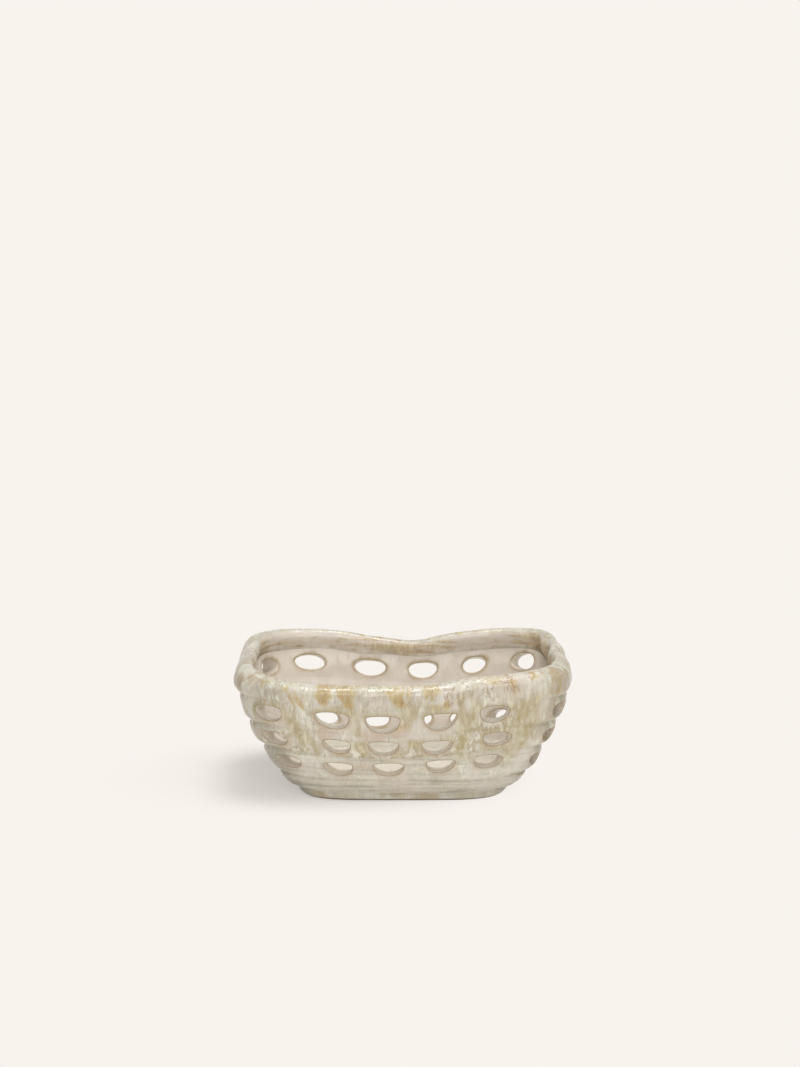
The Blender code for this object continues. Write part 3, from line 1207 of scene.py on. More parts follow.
    def sheet(
        self, skin: Skin, frames: list[HoleFrame], cells: list[tuple[Array, Array]]
    ) -> dict[str, Array]:
        """Lays one whole skin, cell by cell.

        Args:
            skin: Outer or inner face.
            frames: The holes, in order.
            cells: Each hole's grid, as cell() lays it.

        Returns:
            The skin's points, and its marks by attribute name.
        """
        sheets = []
        for frame, (along, up) in zip(frames, cells):
            direction = frame.direction_at(skin, along)
            tall = self.half_height(skin, direction, up > 0)
            height = self.hole_middle(frame, skin, direction) + up
            layers = {
                "points": self.spot(frame, skin, along, up),
                "edge": self.edge_distance(frame.half_widths[skin], tall, along, up),
                "under": smoothstep(0.5 - up / tall),
                "inside": np.full(up.shape, float(skin is Skin.INNER)),
                "groove": self.groove(direction, height) * float(skin is Skin.OUTER),
            }
            sheets.append(layers)
        return {name: np.concatenate([s[name][:, :-1] for s in sheets], axis=1) for name in sheets[0]}

    def shape(self) -> bmesh.types.BMesh:
        """Makes the coil, its holes and their lips.

        Returns:
            Its mesh.
        """
        frames = self.hole_frames()
        cells = {skin: [self.cell(frame, skin) for frame in frames] for skin in Skin}
        outer, inner = (self.sheet(skin, frames, cells[skin]) for skin in Skin)
        points = self.closed(outer.pop("points"), inner.pop("points"))
        known = {name: self.closed_marks(mark, inner[name]) for name, mark in outer.items()}
        marks = self.shop.marks(points, **known)
        points = self.shop.kneading.press(self.shop.form, points)
        inner_row = self.rows + self.joint_steps
        seam_rows = (0, self.rows, inner_row, inner_row + self.rows)
        blocks = []
        for index in range(len(frames)):
            left = index * self.cell_columns + self.gap_columns
            for low in (self.band_rows, inner_row + self.rows - self.band_rows - self.hole_rows):
                blocks.append((low, low + self.hole_rows, left, left + self.hole_columns))
        bm, grid = wrap_ring(RingField(points, marks, seam_rows), tuple(blocks))
        for index, frame in enumerate(frames):
            self.draw_lip(bm, grid, index, frame, cells[Skin.OUTER][index])
        return bm

    def border(self, index: int, skin: Skin) -> list[tuple[int, int]]:
        """Rows and columns of the grid points round a hole's block, in order.

        Args:
            index: Which hole.
            skin: Outer or inner face.

        Returns:
            Row and column of each point, with the same order on both skins.
        """
        left = index * self.cell_columns + self.gap_columns
        right = left + self.hole_columns
        low, high = self.band_rows, self.band_rows + self.hole_rows
        loop = [(low, column) for column in range(left, right)]
        loop += [(row, right) for row in range(low, high)]
        loop += [(high, column) for column in range(right, left, -1)]
        loop += [(row, left) for row in range(high, low, -1)]
        if skin is Skin.OUTER:
            return loop
        last = 2 * self.rows + self.joint_steps
        return [(last - row, column) for row, column in loop]

    def lip_rings(
        self, frame: HoleFrame, turn: tuple[Array, Array]
    ) -> list[tuple[Array, float]]:
        """Rings of points from the outer skin, over the lips and through the wall, to the inner skin.

        Args:
            frame: The hole.
            turn: Cosine and sine of each border point's place round the oval.

        Returns:
            Points of each ring after the first, and how far through the wall it is.
        """
        cosine, sine = turn

        def ring(skin: Skin, beyond: float, sunk: float) -> Array:
            """Draws an oval on a skin.

            Args:
                skin: Outer or inner face.
                beyond: How far beyond the cut edge it is.
                sunk: How far it is sunk level into the wall.

            Returns:
                Its points.
            """
            along = (frame.half_widths[skin] + beyond) * cosine
            tall = self.half_height(skin, frame.direction_at(skin, along), sine > 0)
            spots = self.spot(frame, skin, along, (tall + beyond) * sine)
            return spots + frame.outward * (-sunk if skin is Skin.OUTER else sunk)

        lips: dict[Skin, list[Array]] = {Skin.OUTER: [], Skin.INNER: []}
        for skin in Skin:
            lip = self.lip(skin)
            for step in range(1, self.lip_steps + 1):
                angle = math.pi / 2 * step / self.lip_steps
                lips[skin].append(ring(skin, lip * (1 - math.sin(angle)), lip * (1 - math.cos(angle))))
        start, stop = lips[Skin.OUTER][-1], lips[Skin.INNER][-1]
        shares = [step / self.cut_steps for step in range(1, self.cut_steps)]
        through = [mixed(start, stop, share) for share in shares]
        last = ring(Skin.INNER, self.inner_lip, 0.0)
        rings = [*lips[Skin.OUTER], *through, *lips[Skin.INNER][::-1], last]
        return [(spots, (step + 1) / len(rings)) for step, spots in enumerate(rings)]

    def draw_lip(
        self,
        bm: bmesh.types.BMesh,
        grid: VertGrid,
        index: int,
        frame: HoleFrame,
        places: tuple[Array, Array],
    ) -> None:
        """Draws a hole's rounded lips and cut wall through the coil and welds them to the inner skin.

        Args:
            bm: The coil's mesh.
            grid: Its vertices by row and column.
            index: Which hole.
            frame: The hole's frame.
            places: Distance along and height over the hole's middle of the outer grid points.
        """
        ring, inner = ([grid[row][column] for row, column in self.border(index, skin)] for skin in Skin)
        rows, columns = np.array(self.border(index, Skin.OUTER)).T
        along, up = (place[rows, columns - index * self.cell_columns] for place in places)
        tall = self.half_height(Skin.OUTER, frame.direction_at(Skin.OUTER, along), up > 0) + self.outer_lip
        angle = np.arctan2(up / tall, along / (frame.half_widths[Skin.OUTER] + self.outer_lip))
        layers = {name: bm.verts.layers.float[name] for name in bm.verts.layers.float.keys()}
        round_size = self.oval(np.cos(angle), np.sin(angle))
        for spots, depth in self.lip_rings(frame, (np.cos(angle) / round_size, np.sin(angle) / round_size)):
            edges = [bm.edges.get((a, b)) for a, b in zip(ring, ring[1:] + ring[:1])]
            made = bmesh.ops.extrude_edge_only(bm, edges=edges)["geom"]
            fresh = {item for item in made if isinstance(item, bmesh.types.BMVert)}
            ring = [next(e.other_vert(v) for e in v.link_edges if e.other_vert(v) in fresh) for v in ring]
            pressed = self.shop.kneading.press(self.shop.form, spots)
            marks = self.shop.marks(
                spots,
                edge=np.zeros(len(spots)),
                under=smoothstep(0.5 - np.sin(angle)),
                cut=np.full(len(spots), math.sin(math.pi * depth)),
                inside=np.full(len(spots), depth),
            )
            for number, vert in enumerate(ring):
                vert.co = pressed[number]
                for name, layer in layers.items():
                    vert[layer] = marks[name][number]
        bmesh.ops.weld_verts(bm, targetmap=dict(zip(ring, inner)))


@dataclass
class RimCoil(WallCoil):
    """Fat rolled rim, which dips in the middle of both long sides."""

    columns: int = 480
    section_steps: int = 46
    usual_height: float = 0.028
    lump_roll: float = 0.6
    inside_from: Half = (0.5, 0.7)
    outer_groove: float = 0.05
    inner_groove: float = 0.10
    crest_at: float = 0.46
    crest_spread: float = 0.13

    def shape(self) -> bmesh.types.BMesh:
        """Makes the rim.

        Returns:
            Its mesh.
        """
        form = self.shop.form
        direction = form.even_directions(self.columns)
        wall = form.walls[-1]
        sections = np.array([*RIM_SECTION, (0.0, wall, wall)])
        size = (self.usual_height, 1.0)
        shares = seam_shares(self.section_steps)
        around, side = (path_through(sections[:, [0, column]] * size, shares) / size for column in (1, 2))
        seam = form.seam_height(direction, Seam.UPPER)
        crest = form.crest_height(direction)
        out = np.zeros(self.columns)
        for lump in RIM_LUMPS:
            swell = np.exp(-((turned(direction, lump.bearing) / lump.spread) ** 2))
            out += lump.out * swell
            crest = crest + lump.up * swell
        end = form.endness(direction)
        share, inset = (mixed(side[:, [axis]], around[:, [axis]], end) for axis in (0, 1))
        inset = inset - out * np.sin(math.pi * np.clip(share, 0.0, 1.0) * self.lump_roll)
        height = mixed(seam, crest, share)
        top = float(Seam.UPPER.value)
        faces = (form.plain_face, form.side_face, form.end_face)
        plain, sides, ends = (form.halves_at(pair, top) for pair in faces)
        walked = shares[:, None]
        length, depth = (
            mixed(mixed(low, high, end), middle, walked) for low, high, middle in zip(sides, ends, plain)
        )
        visible = form.point(direction[None, :], length - inset, depth - inset, height)
        under = [
            mixed(visible[-1], visible[0], step / self.joint_steps)
            + np.array([0.0, 0.0, self.crown + self.hidden_gap])
            for step in range(1, self.joint_steps)
        ]
        points = np.concatenate([visible, np.array(under)])
        start, stop = self.inside_from
        groove = end * np.exp(-((walked / self.outer_groove) ** 2))
        known = {
            "inside": smoothstep((walked - start) / (stop - start)),
            "groove": groove + np.exp(-(((1 - walked) / self.inner_groove) ** 2)),
            "crest": np.exp(-(((walked - self.crest_at) / self.crest_spread) ** 2)),
        }
        hidden = np.zeros((self.joint_steps - 1, self.columns))
        known = {
            name: np.concatenate([np.broadcast_to(value, visible.shape[:2]), hidden])
            for name, value in known.items()
        }
        marks = self.shop.marks(points, **known)
        points = self.shop.kneading.press(form, points)
        return wrap_ring(RingField(points, marks, (0, self.section_steps)))[0]


@dataclass
class BaseSlab(ClayPiece):
    """Floor of the basket: a slab whose edge shows below the wall."""

    node: str = "base_slab"
    slot: str = "slab_glaze"
    columns: int = 360
    floor_rings: int = 14
    edge_steps: int = 14
    edge_radius: float = 0.0008
    foot_inset: float = 0.0030
    skirt_height: float = 0.0018
    # Height of the dark bottom band: bare clay, darkened further as painted contact shadow.
    bare_and_shadow_edge: float = 0.0008
    edge_share: float = 0.4
    line: float = 0.00012
    line_turn: float = 9.0

    def shape(self) -> bmesh.types.BMesh:
        """Makes the slab.

        Returns:
            Its mesh.
        """
        form = self.shop.form
        low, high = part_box(self.node)
        direction = form.even_directions(self.columns)
        top_half = form.halves[Seam.SLAB]
        foot_half = (top_half[0] - self.foot_inset, top_half[1])
        spread = np.linspace(0.0, 1.0, self.floor_rings, endpoint=False)

        def flat(half: Half, share: float, height: float) -> Array:
            """One ring of a flat face, at a share of its half length and half depth."""
            return form.point(direction, *(size * share + NEARLY_NOTHING for size in half), height)

        rows = [flat(foot_half, share, low.z) for share in spread]
        for rise in np.linspace(0.0, 1.0, self.edge_steps + 1):
            inset = self.edge_radius * max(0.0, 1.0 - rise / self.edge_share) ** 2
            inset -= self.line * math.sin(rise * self.line_turn)
            sizes = (mixed(foot, top, rise) - inset for foot, top in zip(foot_half, top_half))
            rows.append(form.point(direction, *sizes, mixed(self.skirt_height, high.z, rise)))
        rows += [flat(top_half, share, high.z) for share in spread[::-1]]
        points = np.array(rows)
        inside = np.zeros(points.shape[:2])
        inside[self.floor_rings + self.edge_steps + 1 :] = 1.0
        # The bottom edge band: bare clay, darkened further as painted contact shadow where the slab meets
        # the floor.
        bottom = np.exp(-(((points[..., 2] - self.skirt_height) / self.bare_and_shadow_edge) ** 2)) * (1.0 - inside)
        marks = self.shop.marks(points, inside=inside, groove=bottom)
        points = self.shop.kneading.press(form, points)
        points[0] = points[0].mean(axis=0)
        points[-1] = points[-1].mean(axis=0)
        edge_row = self.floor_rings + self.edge_steps
        return wrap_ring(RingField(points, marks, (edge_row,), closed=False))[0]


@dataclass
class InnerSeamCoil(ClayPiece):
    """Thin coil pressed into the inside corner between floor and wall, with a hollow face."""

    node: str = "inner_seam_coil"
    slot: str = "inner_glaze"
    columns: int = 360
    face_steps: int = 12
    top_share: float = 0.5
    reach: float = 0.0100

    def shape(self) -> bmesh.types.BMesh:
        """Makes the coil.

        Returns:
            Its mesh.
        """
        form = self.shop.form
        direction = form.even_directions(self.columns)
        floor = form.seam_height(direction, Seam.SLAB)
        plain = form.seam_height(direction, Seam.PLAIN)
        top_height = mixed(floor, plain, self.top_share)
        top = form.face(Skin.INNER, direction, np.full(direction.shape, self.top_share), top_height)
        corner = form.face(Skin.INNER, direction, np.zeros(direction.shape), floor)
        length, depth = form.halves[Seam.SLAB]
        inset = form.walls[0] + self.reach
        toe = form.point(direction, length - inset, depth - inset, floor)
        rows = []
        for step in range(self.face_steps + 1):
            share = step / self.face_steps
            rows.append((1 - share) ** 2 * top + 2 * share * (1 - share) * corner + share**2 * toe)
        rows += [mixed(toe, corner, 0.5), corner, mixed(corner, top, 0.5)]
        points = np.array(rows)
        marks = self.shop.marks(points, inside=np.ones(points.shape[:2]))
        points = self.shop.kneading.press(form, points)
        return wrap_ring(RingField(points, marks, (0, self.face_steps, self.face_steps + 2)))[0]


@dataclass
class FootRing(ClayPiece):
    """Low ring of bare clay that the basket stands on."""

    node: str = "foot_ring"
    slot: str = "bare_clay"
    columns: int = 300
    width: float = 0.0110
    edge_radius: float = 0.0008
    corner_steps: int = 4
    unevenness: float = 0.0004
    worn_waves: tuple[Half, Half] = ((7.0, 0.0), (3.0, 1.0))
    tuck: float = 0.0004
    side_share: float = 0.7

    def shape(self) -> bmesh.types.BMesh:
        """Makes the ring.

        Returns:
            Its mesh.
        """
        form = self.shop.form
        low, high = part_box(self.node)
        length, depth = (high.x - low.x) / 2 - self.tuck, (high.y - low.y) / 2 - self.tuck
        direction = form.even_directions(self.columns)
        waves = (np.sin(direction * turns + shift) for turns, shift in self.worn_waves)
        worn = np.abs(self.unevenness * math.prod(waves))
        outside = []
        for step in range(self.corner_steps + 1):
            angle = math.pi / 2 * step / self.corner_steps
            outside.append(tuple(self.edge_radius * (1 - turn(angle)) for turn in (math.sin, math.cos)))
        inside = [(self.width - inset, height) for inset, height in outside[::-1]]
        top = [(inset, high.z) for inset in (0.0, self.width / 2, self.width)]
        rows = []
        for inset, height in (*inside, *outside, (0.0, high.z * self.side_share), *top):
            rows.append(form.point(direction, length - inset - worn, depth - inset - worn, height))
        points = np.array(rows)
        marks = self.shop.marks(points)
        return wrap_ring(RingField(points, marks))[0]


class NodeBench:
    """Node tree with short calls for what is done to every tree."""

    def __init__(self, tree: bpy.types.NodeTree) -> None:
        """Takes the tree to work on."""
        self.tree = tree

    def join(self, source: object, target: Socket) -> None:
        """Links a socket to a target, or sets the target to a plain value.

        Args:
            source: A socket or a value.
            target: The input that takes it.
        """
        if isinstance(source, Socket):
            self.tree.links.new(source, target)
        else:
            target.default_value = source

    def add(self, kind: str, inputs: dict[str | int, object], **settings: object) -> bpy.types.Node:
        """Adds a node.

        Args:
            kind: Its type, without the words that they all start with.
            inputs: Sockets or plain values for its inputs, by name or place.
            settings: Its properties.

        Returns:
            The node.
        """
        node = self.tree.nodes.new(f"ShaderNode{kind}")
        for name, value in settings.items():
            setattr(node, name, value)
        for name, value in inputs.items():
            self.join(value, node.inputs[name])
        return node

    def sums(self, operation: str, *values: object) -> Socket:
        """A Math node."""
        return self.add("Math", dict(enumerate(values)), operation=operation).outputs[0]

    def show(self, output: str, share: Socket, first: bpy.types.Node, second: bpy.types.Node) -> None:
        """Mixes two shaders, the second by its share, into the tree's output."""
        mix = self.add("MixShader", {0: share, 1: first.outputs[0], 2: second.outputs[0]})
        self.join(mix.outputs[0], self.tree.nodes[output].inputs["Surface"])


class GlazeBench(NodeBench):
    """Node tree of one material, with short calls for the nodes that the finishes use."""

    noise_span: Half = (0.30, 0.70)
    shift_ways: Triple = (1.0, 0.7, 0.3)
    pick_edge: float = 0.01
    dot_core: float = 0.6
    crack_stretch: Triple = (1.0, 1.0, 0.26)
    crack_warp_scale: float = 1.5
    crack_warp: float = 1.2

    def __init__(self, name: str) -> None:
        """Starts a material with its shader and Object coordinates.

        Args:
            name: The material's name.
        """
        self.material = bpy.data.materials.new(name)
        self.material.use_nodes = True
        super().__init__(self.material.node_tree)
        self.shader = self.tree.nodes["Principled BSDF"]
        self.coordinates = self.add("TexCoord", {}).outputs["Object"]

    def give(self, name: str, value: object) -> None:
        """Links or sets one of the shader's inputs."""
        self.join(value, self.shader.inputs[name])

    def mark(self, name: str) -> Socket:
        """Reads a vertex attribute."""
        return self.add("Attribute", {}, attribute_name=name).outputs["Fac"]

    def stretched(self, stretch: Triple, shift: float = 0.0) -> Socket:
        """Object coordinates, stretched along the axes and shifted to another part of a pattern."""
        inputs = {"Vector": self.coordinates, "Scale": stretch, "Location": Vector(self.shift_ways) * shift}
        return self.add("Mapping", inputs).outputs["Vector"]

    def cloud(
        self,
        scale: float,
        detail: float = 3.0,
        stretch: Triple = (1.0, 1.0, 1.0),
        shift: float = 0.0,
        distortion: float = 0.0,
    ) -> Socket:
        """Noise on Object coordinates, spread from 0 to 1.

        Args:
            scale: Size of the pattern, in waves a metre.
            detail: Finer layers.
            stretch: Scale along each axis.
            shift: Move to another part of the noise.
            distortion: How much it is swirled.

        Returns:
            The noise's value.
        """
        inputs = {"Scale": scale, "Detail": detail, "Distortion": distortion}
        node = self.add("TexNoise", {"Vector": self.stretched(stretch, shift), **inputs})
        low, high = self.noise_span
        spread = {"Value": node.outputs["Fac"], "From Min": low, "From Max": high}
        return self.add("MapRange", spread).outputs["Result"]

    def weigh(self, base: object, *parts: tuple[Socket, float]) -> Socket:
        """Adds noises to a value, each with its weight and counted from its middle.

        Args:
            base: The value.
            parts: Noises and their weights.

        Returns:
            The sum.
        """
        for part, weight in parts:
            base = self.sums("MULTIPLY_ADD", part, weight, base)
        return self.sums("SUBTRACT", base, 0.5 * sum(weight for _, weight in parts))

    def window(self, value: object, low: float, high: float, span: Half = (0.0, 1.0)) -> Socket:
        """Eases a value from the first of a span to the second as it passes from low to high."""
        inputs = {"Value": value, "From Min": low, "From Max": high, "To Min": span[0], "To Max": span[1]}
        return self.add("MapRange", inputs, interpolation_type="SMOOTHSTEP").outputs["Result"]

    def blend(self, share: object, first: object, second: object) -> Socket:
        """Mixes two colours, the second by its share."""
        return self.add("Mix", {"Factor": share, 6: first, 7: second}, data_type="RGBA").outputs[2]

    def specks(self, scale: float, share: float, size: float) -> Socket:
        """Scattered dots: 1 on a dot.

        Args:
            scale: Cells a metre.
            share: Share of the cells that hold a dot.
            size: Radius of a dot, as a share of a cell.

        Returns:
            The dots.
        """
        cells = self.add("TexVoronoi", {"Scale": scale, "Vector": self.coordinates}).outputs
        split = self.add("SeparateColor", {"Color": cells["Color"]})
        picked = self.window(split.outputs["Red"], 1.0 - share, 1.0 - share + self.pick_edge)
        dot = self.window(cells["Distance"], size * self.dot_core, size, (1.0, 0.0))
        return self.sums("MULTIPLY", picked, dot)

    def cracks(self, scale: float, width: float) -> Socket:
        """Fine wandering lines, drawn out upright: 1 on a line.

        Args:
            scale: Cells a metre.
            width: Width of a line, as a share of a cell.

        Returns:
            The lines.
        """
        upright = self.stretched(self.crack_stretch)
        inputs = {"Vector": upright, "Scale": scale * self.crack_warp_scale, "Detail": 2.0}
        warp = self.add("TexNoise", inputs).outputs["Color"]
        inputs = {0: warp, 1: (self.crack_warp / scale,) * 3, 2: upright}
        moved = self.add("VectorMath", inputs, operation="MULTIPLY_ADD").outputs["Vector"]
        cells = self.add("TexVoronoi", {"Scale": scale, "Vector": moved}, feature="DISTANCE_TO_EDGE")
        return self.window(cells.outputs["Distance"], 0.0, width, (1.0, 0.0))

    def relief(self, height: object, depth: float, strength: float) -> None:
        """Presses a pattern into the shader's normal, with a full step's height in metres."""
        node = self.add("Bump", {"Distance": depth, "Strength": strength, "Height": height})
        self.give("Normal", node.outputs["Normal"])


@dataclass
class Coat:
    """A glaze's colour as it is built up, layer over layer, with the noises and marks that break it.

    From fine to broad the noises are grain, hair, streak, drift, blot and zone, all but the grain drawn out
    upright, as glaze runs. inside, outside and end are shares of the surface, and broad is the outside of
    the long sides.
    """

    bench: GlazeBench
    colour: object
    noises: dict[str, Socket] = field(init=False)
    inside: Socket = field(init=False)
    outside: Socket = field(init=False)
    end: Socket = field(init=False)
    broad: Socket = field(init=False)

    def __post_init__(self) -> None:
        """Sets up the noises, and the marks that most layers use."""
        self.noises = {
            "hair": self.bench.cloud(700.0, 2.0, (1.0, 1.0, 0.10), 1.3),
            "streak": self.bench.cloud(270.0, 2.0, (1.0, 1.0, 0.24), 4.1, 0.3),
            "drift": self.bench.cloud(130.0, 3.0, (1.0, 1.0, 0.55), 8.8, 0.4),
            "blot": self.bench.cloud(65.0, 3.0, (1.0, 1.0, 0.7), 6.4, 0.4),
            "zone": self.bench.cloud(28.0, 2.0, (1.0, 1.0, 0.8), 2.2),
            "grain": self.bench.cloud(1500.0, 2.0),
        }
        self.inside = self.mark(Mark.INSIDE)
        self.outside = self.rest(self.inside)
        self.end = self.mark(Mark.END)
        self.broad = self.times(self.outside, self.rest(self.end))

    def mark(self, name: Mark | Tone) -> Socket:
        """Reads a mark or a tone from the vertices."""
        return self.bench.mark(name.value)

    def rest(self, share: object) -> Socket:
        """What a share leaves of 1."""
        return self.bench.sums("SUBTRACT", 1.0, share)

    def times(self, first: object, second: object) -> Socket:
        """Product of two shares."""
        return self.bench.sums("MULTIPLY", first, second)

    def off(self, value: object, middle: float) -> Socket:
        """How far a value is from a middle, to either side."""
        return self.bench.sums("ABSOLUTE", self.bench.sums("SUBTRACT", value, middle), 0.0)

    def near(self, value: object, reach: float) -> Socket:
        """1 where a value is 0, fading out as it comes to its reach."""
        return self.bench.window(value, 0.0, reach, (1.0, 0.0))

    def mottle(self, base: object, **weights: float) -> Socket:
        """A value broken by noises, which are named with their weights."""
        return self.bench.weigh(base, *((self.noises[name], weight) for name, weight in weights.items()))

    def part(self, base: object, low: float, high: float, **weights: float) -> Socket:
        """Share that rises from 0 to 1 as a value, broken by noises, passes from low to high."""
        return self.bench.window(self.mottle(base, **weights), low, high)

    def broken(self, first: Colour, second: Colour) -> Socket:
        """Two colours that break into each other in fine strokes."""
        return self.bench.blend(self.part(0.5, 0.3, 0.75, streak=0.6, hair=0.5, grain=0.3), first, second)

    def lay(self, over: object, share: object, strength: float = 1.0, only: object = None) -> None:
        """Lays a colour over what is there.

        Args:
            over: The colour.
            share: Where it lies.
            strength: How much it covers there.
            only: A second share that keeps it to a part of the surface, if there is one.
        """
        if only is not None:
            share = self.times(share, only)
        self.colour = self.bench.blend(self.times(share, strength), self.colour, over)


@dataclass(frozen=True)
class AshGlaze:
    """Glossy cream ash glaze that runs, pools and breaks over stoneware.

    The shares say how much of each effect a piece shows. matt and glossy are the roughness of its dull and
    its glassy patches, and depth is the height of its unevenness.
    """

    name: str
    cream: Colour = srgb(209, 202, 188)
    ash: Colour = srgb(203, 200, 187)
    white: Colour = srgb(233, 232, 214)
    # Dark brown outline of the holes: brown glaze at the edge, and painted shadow along their upper sides.
    outline: Colour = srgb(122, 101, 70)
    inside: Colour = srgb(219, 208, 195)
    ochre: Colour = srgb(178, 152, 98)
    honey: Colour = srgb(203, 187, 147)
    brown: Colour = srgb(138, 110, 72)
    olive: Colour = srgb(172, 156, 114)
    blush: Colour = srgb(199, 179, 161)
    mist: Colour = srgb(203, 194, 189)
    tan: Colour = srgb(176, 148, 108)
    # Light cream of the cut walls, lighter than the glaze as painted light.
    cut: Colour = srgb(231, 223, 207)
    # Brown: tide lines in the glaze, and painted shade in the seams round the ends.
    lip: Colour = srgb(146, 130, 98)
    # Dark tan: fine hair lines in the glaze, and painted shade round the holes on the inner wall.
    ring: Colour = srgb(166, 148, 116)
    pale: Colour = srgb(221, 217, 207)
    # Darker glaze that pools in the seams; on the slab, its bottom edge: bare clay, darkened further as
    # painted contact shadow.
    pool_and_edge_shade: Colour = srgb(146, 134, 100)
    # Grey: the darker wiped bands of the glaze, and painted shade on the ends.
    shade: Colour = srgb(149, 142, 126)
    speck: Colour = srgb(98, 76, 54)
    streaks: float = 1.0
    olive_share: float = 0.5
    pooling_and_edge_shade: float = 0.22
    brushed: float = 0.0
    banded: float = 0.0
    browed: float = 0.3
    ridged: float = 0.3
    combed: float = 0.04
    # shaded is how strongly the painted shade darkens the ends.
    shaded: float = 0.5
    dull_inside: float = 0.25
    matt: float = 0.45
    glossy: float = 0.06
    refraction: float = 1.5
    depth: float = 0.0008

    def make(self) -> Material:
        """Builds the material.

        Returns:
            The finished material.
        """
        coat = Coat(GlazeBench(self.name), self.cream)
        self.lay_ground(coat)
        if self.banded:
            self.lay_bands(coat)
        self.lay_runs(coat)
        if self.brushed:
            self.lay_rim(coat)
        self.lay_seams(coat)
        self.lay_holes(coat)
        self.lay_ends(coat)
        coat.lay(self.speck, coat.bench.specks(230.0, 0.05, 0.12), 0.7)
        coat.bench.give("Base Color", coat.colour)
        self.set_gloss(coat)
        return coat.bench.material

    def lay_ground(self, coat: Coat) -> None:
        """Lays the patchy ground: pale and misty patches with tide lines, olive veins and hair lines.

        Args:
            coat: The glaze as laid so far.
        """
        coat.lay(self.ash, coat.part(0.5, 0.2, 0.8, zone=0.6, blot=0.6))
        coat.lay(self.mist, coat.part(0.5, 0.5, 1.0, zone=-0.6, blot=0.5, drift=0.3), 0.7)
        patch = coat.mottle(0.5, blot=0.9, drift=0.6, streak=0.25)
        coat.lay(self.pale, coat.bench.window(patch, 0.55, 0.95), 0.75 * self.streaks)
        vein = coat.near(coat.mottle(coat.off(patch, 0.45), hair=0.06, grain=0.03), 0.34)
        vein = coat.times(vein, coat.part(0.5, 0.1, 0.8, zone=1.0, streak=0.4))
        coat.lay(self.olive, vein, self.olive_share, coat.outside)
        white = coat.part(0.5, 0.45, 1.1, hair=0.35, streak=0.7, blot=0.6)
        coat.lay(self.white, white, 0.8 * self.streaks, coat.outside)
        dark = coat.part(0.5, 0.6, 1.0, hair=-1.0, streak=-0.5, zone=0.4)
        coat.lay(self.ring, dark, 0.4 * self.streaks, coat.broad)
        tide = coat.near(coat.off(coat.mottle(patch, hair=0.1), 0.62), 0.06)
        tide = coat.times(tide, coat.bench.window(coat.noises["zone"], 0.35, 0.8))
        coat.lay(self.lip, tide, 0.4 * self.streaks, coat.outside)
        coat.lay(self.inside, coat.part(coat.inside, 0.25, 0.75, blot=0.3, streak=0.2), 0.9)

    def lay_bands(self, coat: Coat) -> None:
        """Lays level bands, white and shaded, as a wiping finger leaves them.

        Args:
            coat: The glaze as laid so far.
        """
        coat.noises["band"] = coat.bench.cloud(330.0, 3.0, (0.05, 0.05, 1.0), 5.5)
        white = coat.part(0.5, 0.55, 0.9, band=0.9, blot=0.3)
        coat.lay(self.white, white, 0.5 * self.banded, coat.outside)
        dark = coat.part(0.5, 0.6, 0.95, band=-0.9, zone=0.4)
        coat.lay(self.shade, dark, 0.5 * self.banded, coat.outside)

    def lay_runs(self, coat: Coat) -> None:
        """Lays the runs: mist and blush, olive broken by white streaks, and ochre that darkens to brown.

        Args:
            coat: The glaze as laid so far.
        """
        for tone, tint, strength in ((Tone.MIST, self.mist, 0.5), (Tone.BLUSH, self.blush, 0.8)):
            run = coat.part(coat.mark(tone), 0.2, 1.1, drift=0.7, streak=0.3, hair=0.2)
            coat.lay(tint, run, strength, coat.outside)
        run = coat.part(coat.mark(Tone.OLIVE), 0.15, 1.2, drift=0.7, blot=0.6, hair=0.15)
        coat.lay(self.olive, run, 0.9, coat.outside)
        white = coat.part(0.5, 0.35, 1.35, hair=0.25, streak=0.8, drift=0.8)
        coat.lay(self.white, coat.times(white, coat.bench.window(run, 0.02, 0.5)), 0.58, coat.outside)
        run = coat.times(coat.mark(Tone.OCHRE), coat.outside)
        run = coat.mottle(run, drift=0.5, streak=0.6, hair=0.3)
        coat.lay(coat.broken(self.ochre, self.honey), coat.bench.window(run, 0.3, 0.75), 0.9)
        coat.lay(self.brown, coat.part(run, 0.85, 1.4, grain=0.4, hair=0.6), 0.6)

    def lay_rim(self, coat: Coat) -> None:
        """Lays what only the rim shows: honey and white on its crest, brushed tan inside, and crackle.

        Args:
            coat: The glaze as laid so far.
        """
        coat.noises["brush"] = coat.bench.cloud(300.0, 4.0, (0.12, 0.12, 1.0), 9.2)
        crest, crackle = coat.mark(Mark.CREST), coat.mark(Tone.CRACKLE)
        honey = coat.part(crest, 0.6, 1.2, brush=0.8, zone=0.8, grain=0.2)
        coat.lay(self.honey, honey, 0.1 * self.brushed)
        tan = coat.times(coat.bench.weigh(1.05, (crackle, 0.95), (coat.end, 0.4)), coat.inside)
        tan = coat.part(tan, 0.45, 1.15, brush=0.9, blot=0.6)
        coat.lay(coat.broken(self.tan, self.honey), tan, self.brushed)
        pale = coat.part(coat.inside, 0.8, 1.3, brush=-0.8, zone=-0.6)
        coat.lay(self.pale, pale, 0.45 * self.brushed)
        crackle = coat.times(crackle, coat.outside)
        tan = coat.part(crackle, 0.4, 1.2, grain=0.5, drift=0.9)
        coat.lay(coat.broken(self.tan, self.honey), tan, 0.35)
        lines = coat.part(0.5, 0.45, 0.7, drift=1.0, blot=0.6)
        lines = coat.times(lines, coat.bench.cracks(330.0, 0.14))
        coat.lay(self.brown, lines, 0.8, crackle)
        white = coat.part(crest, 0.9, 1.5, hair=1.0, streak=0.5, zone=0.6)
        coat.lay(self.white, white, 0.5, coat.broad)

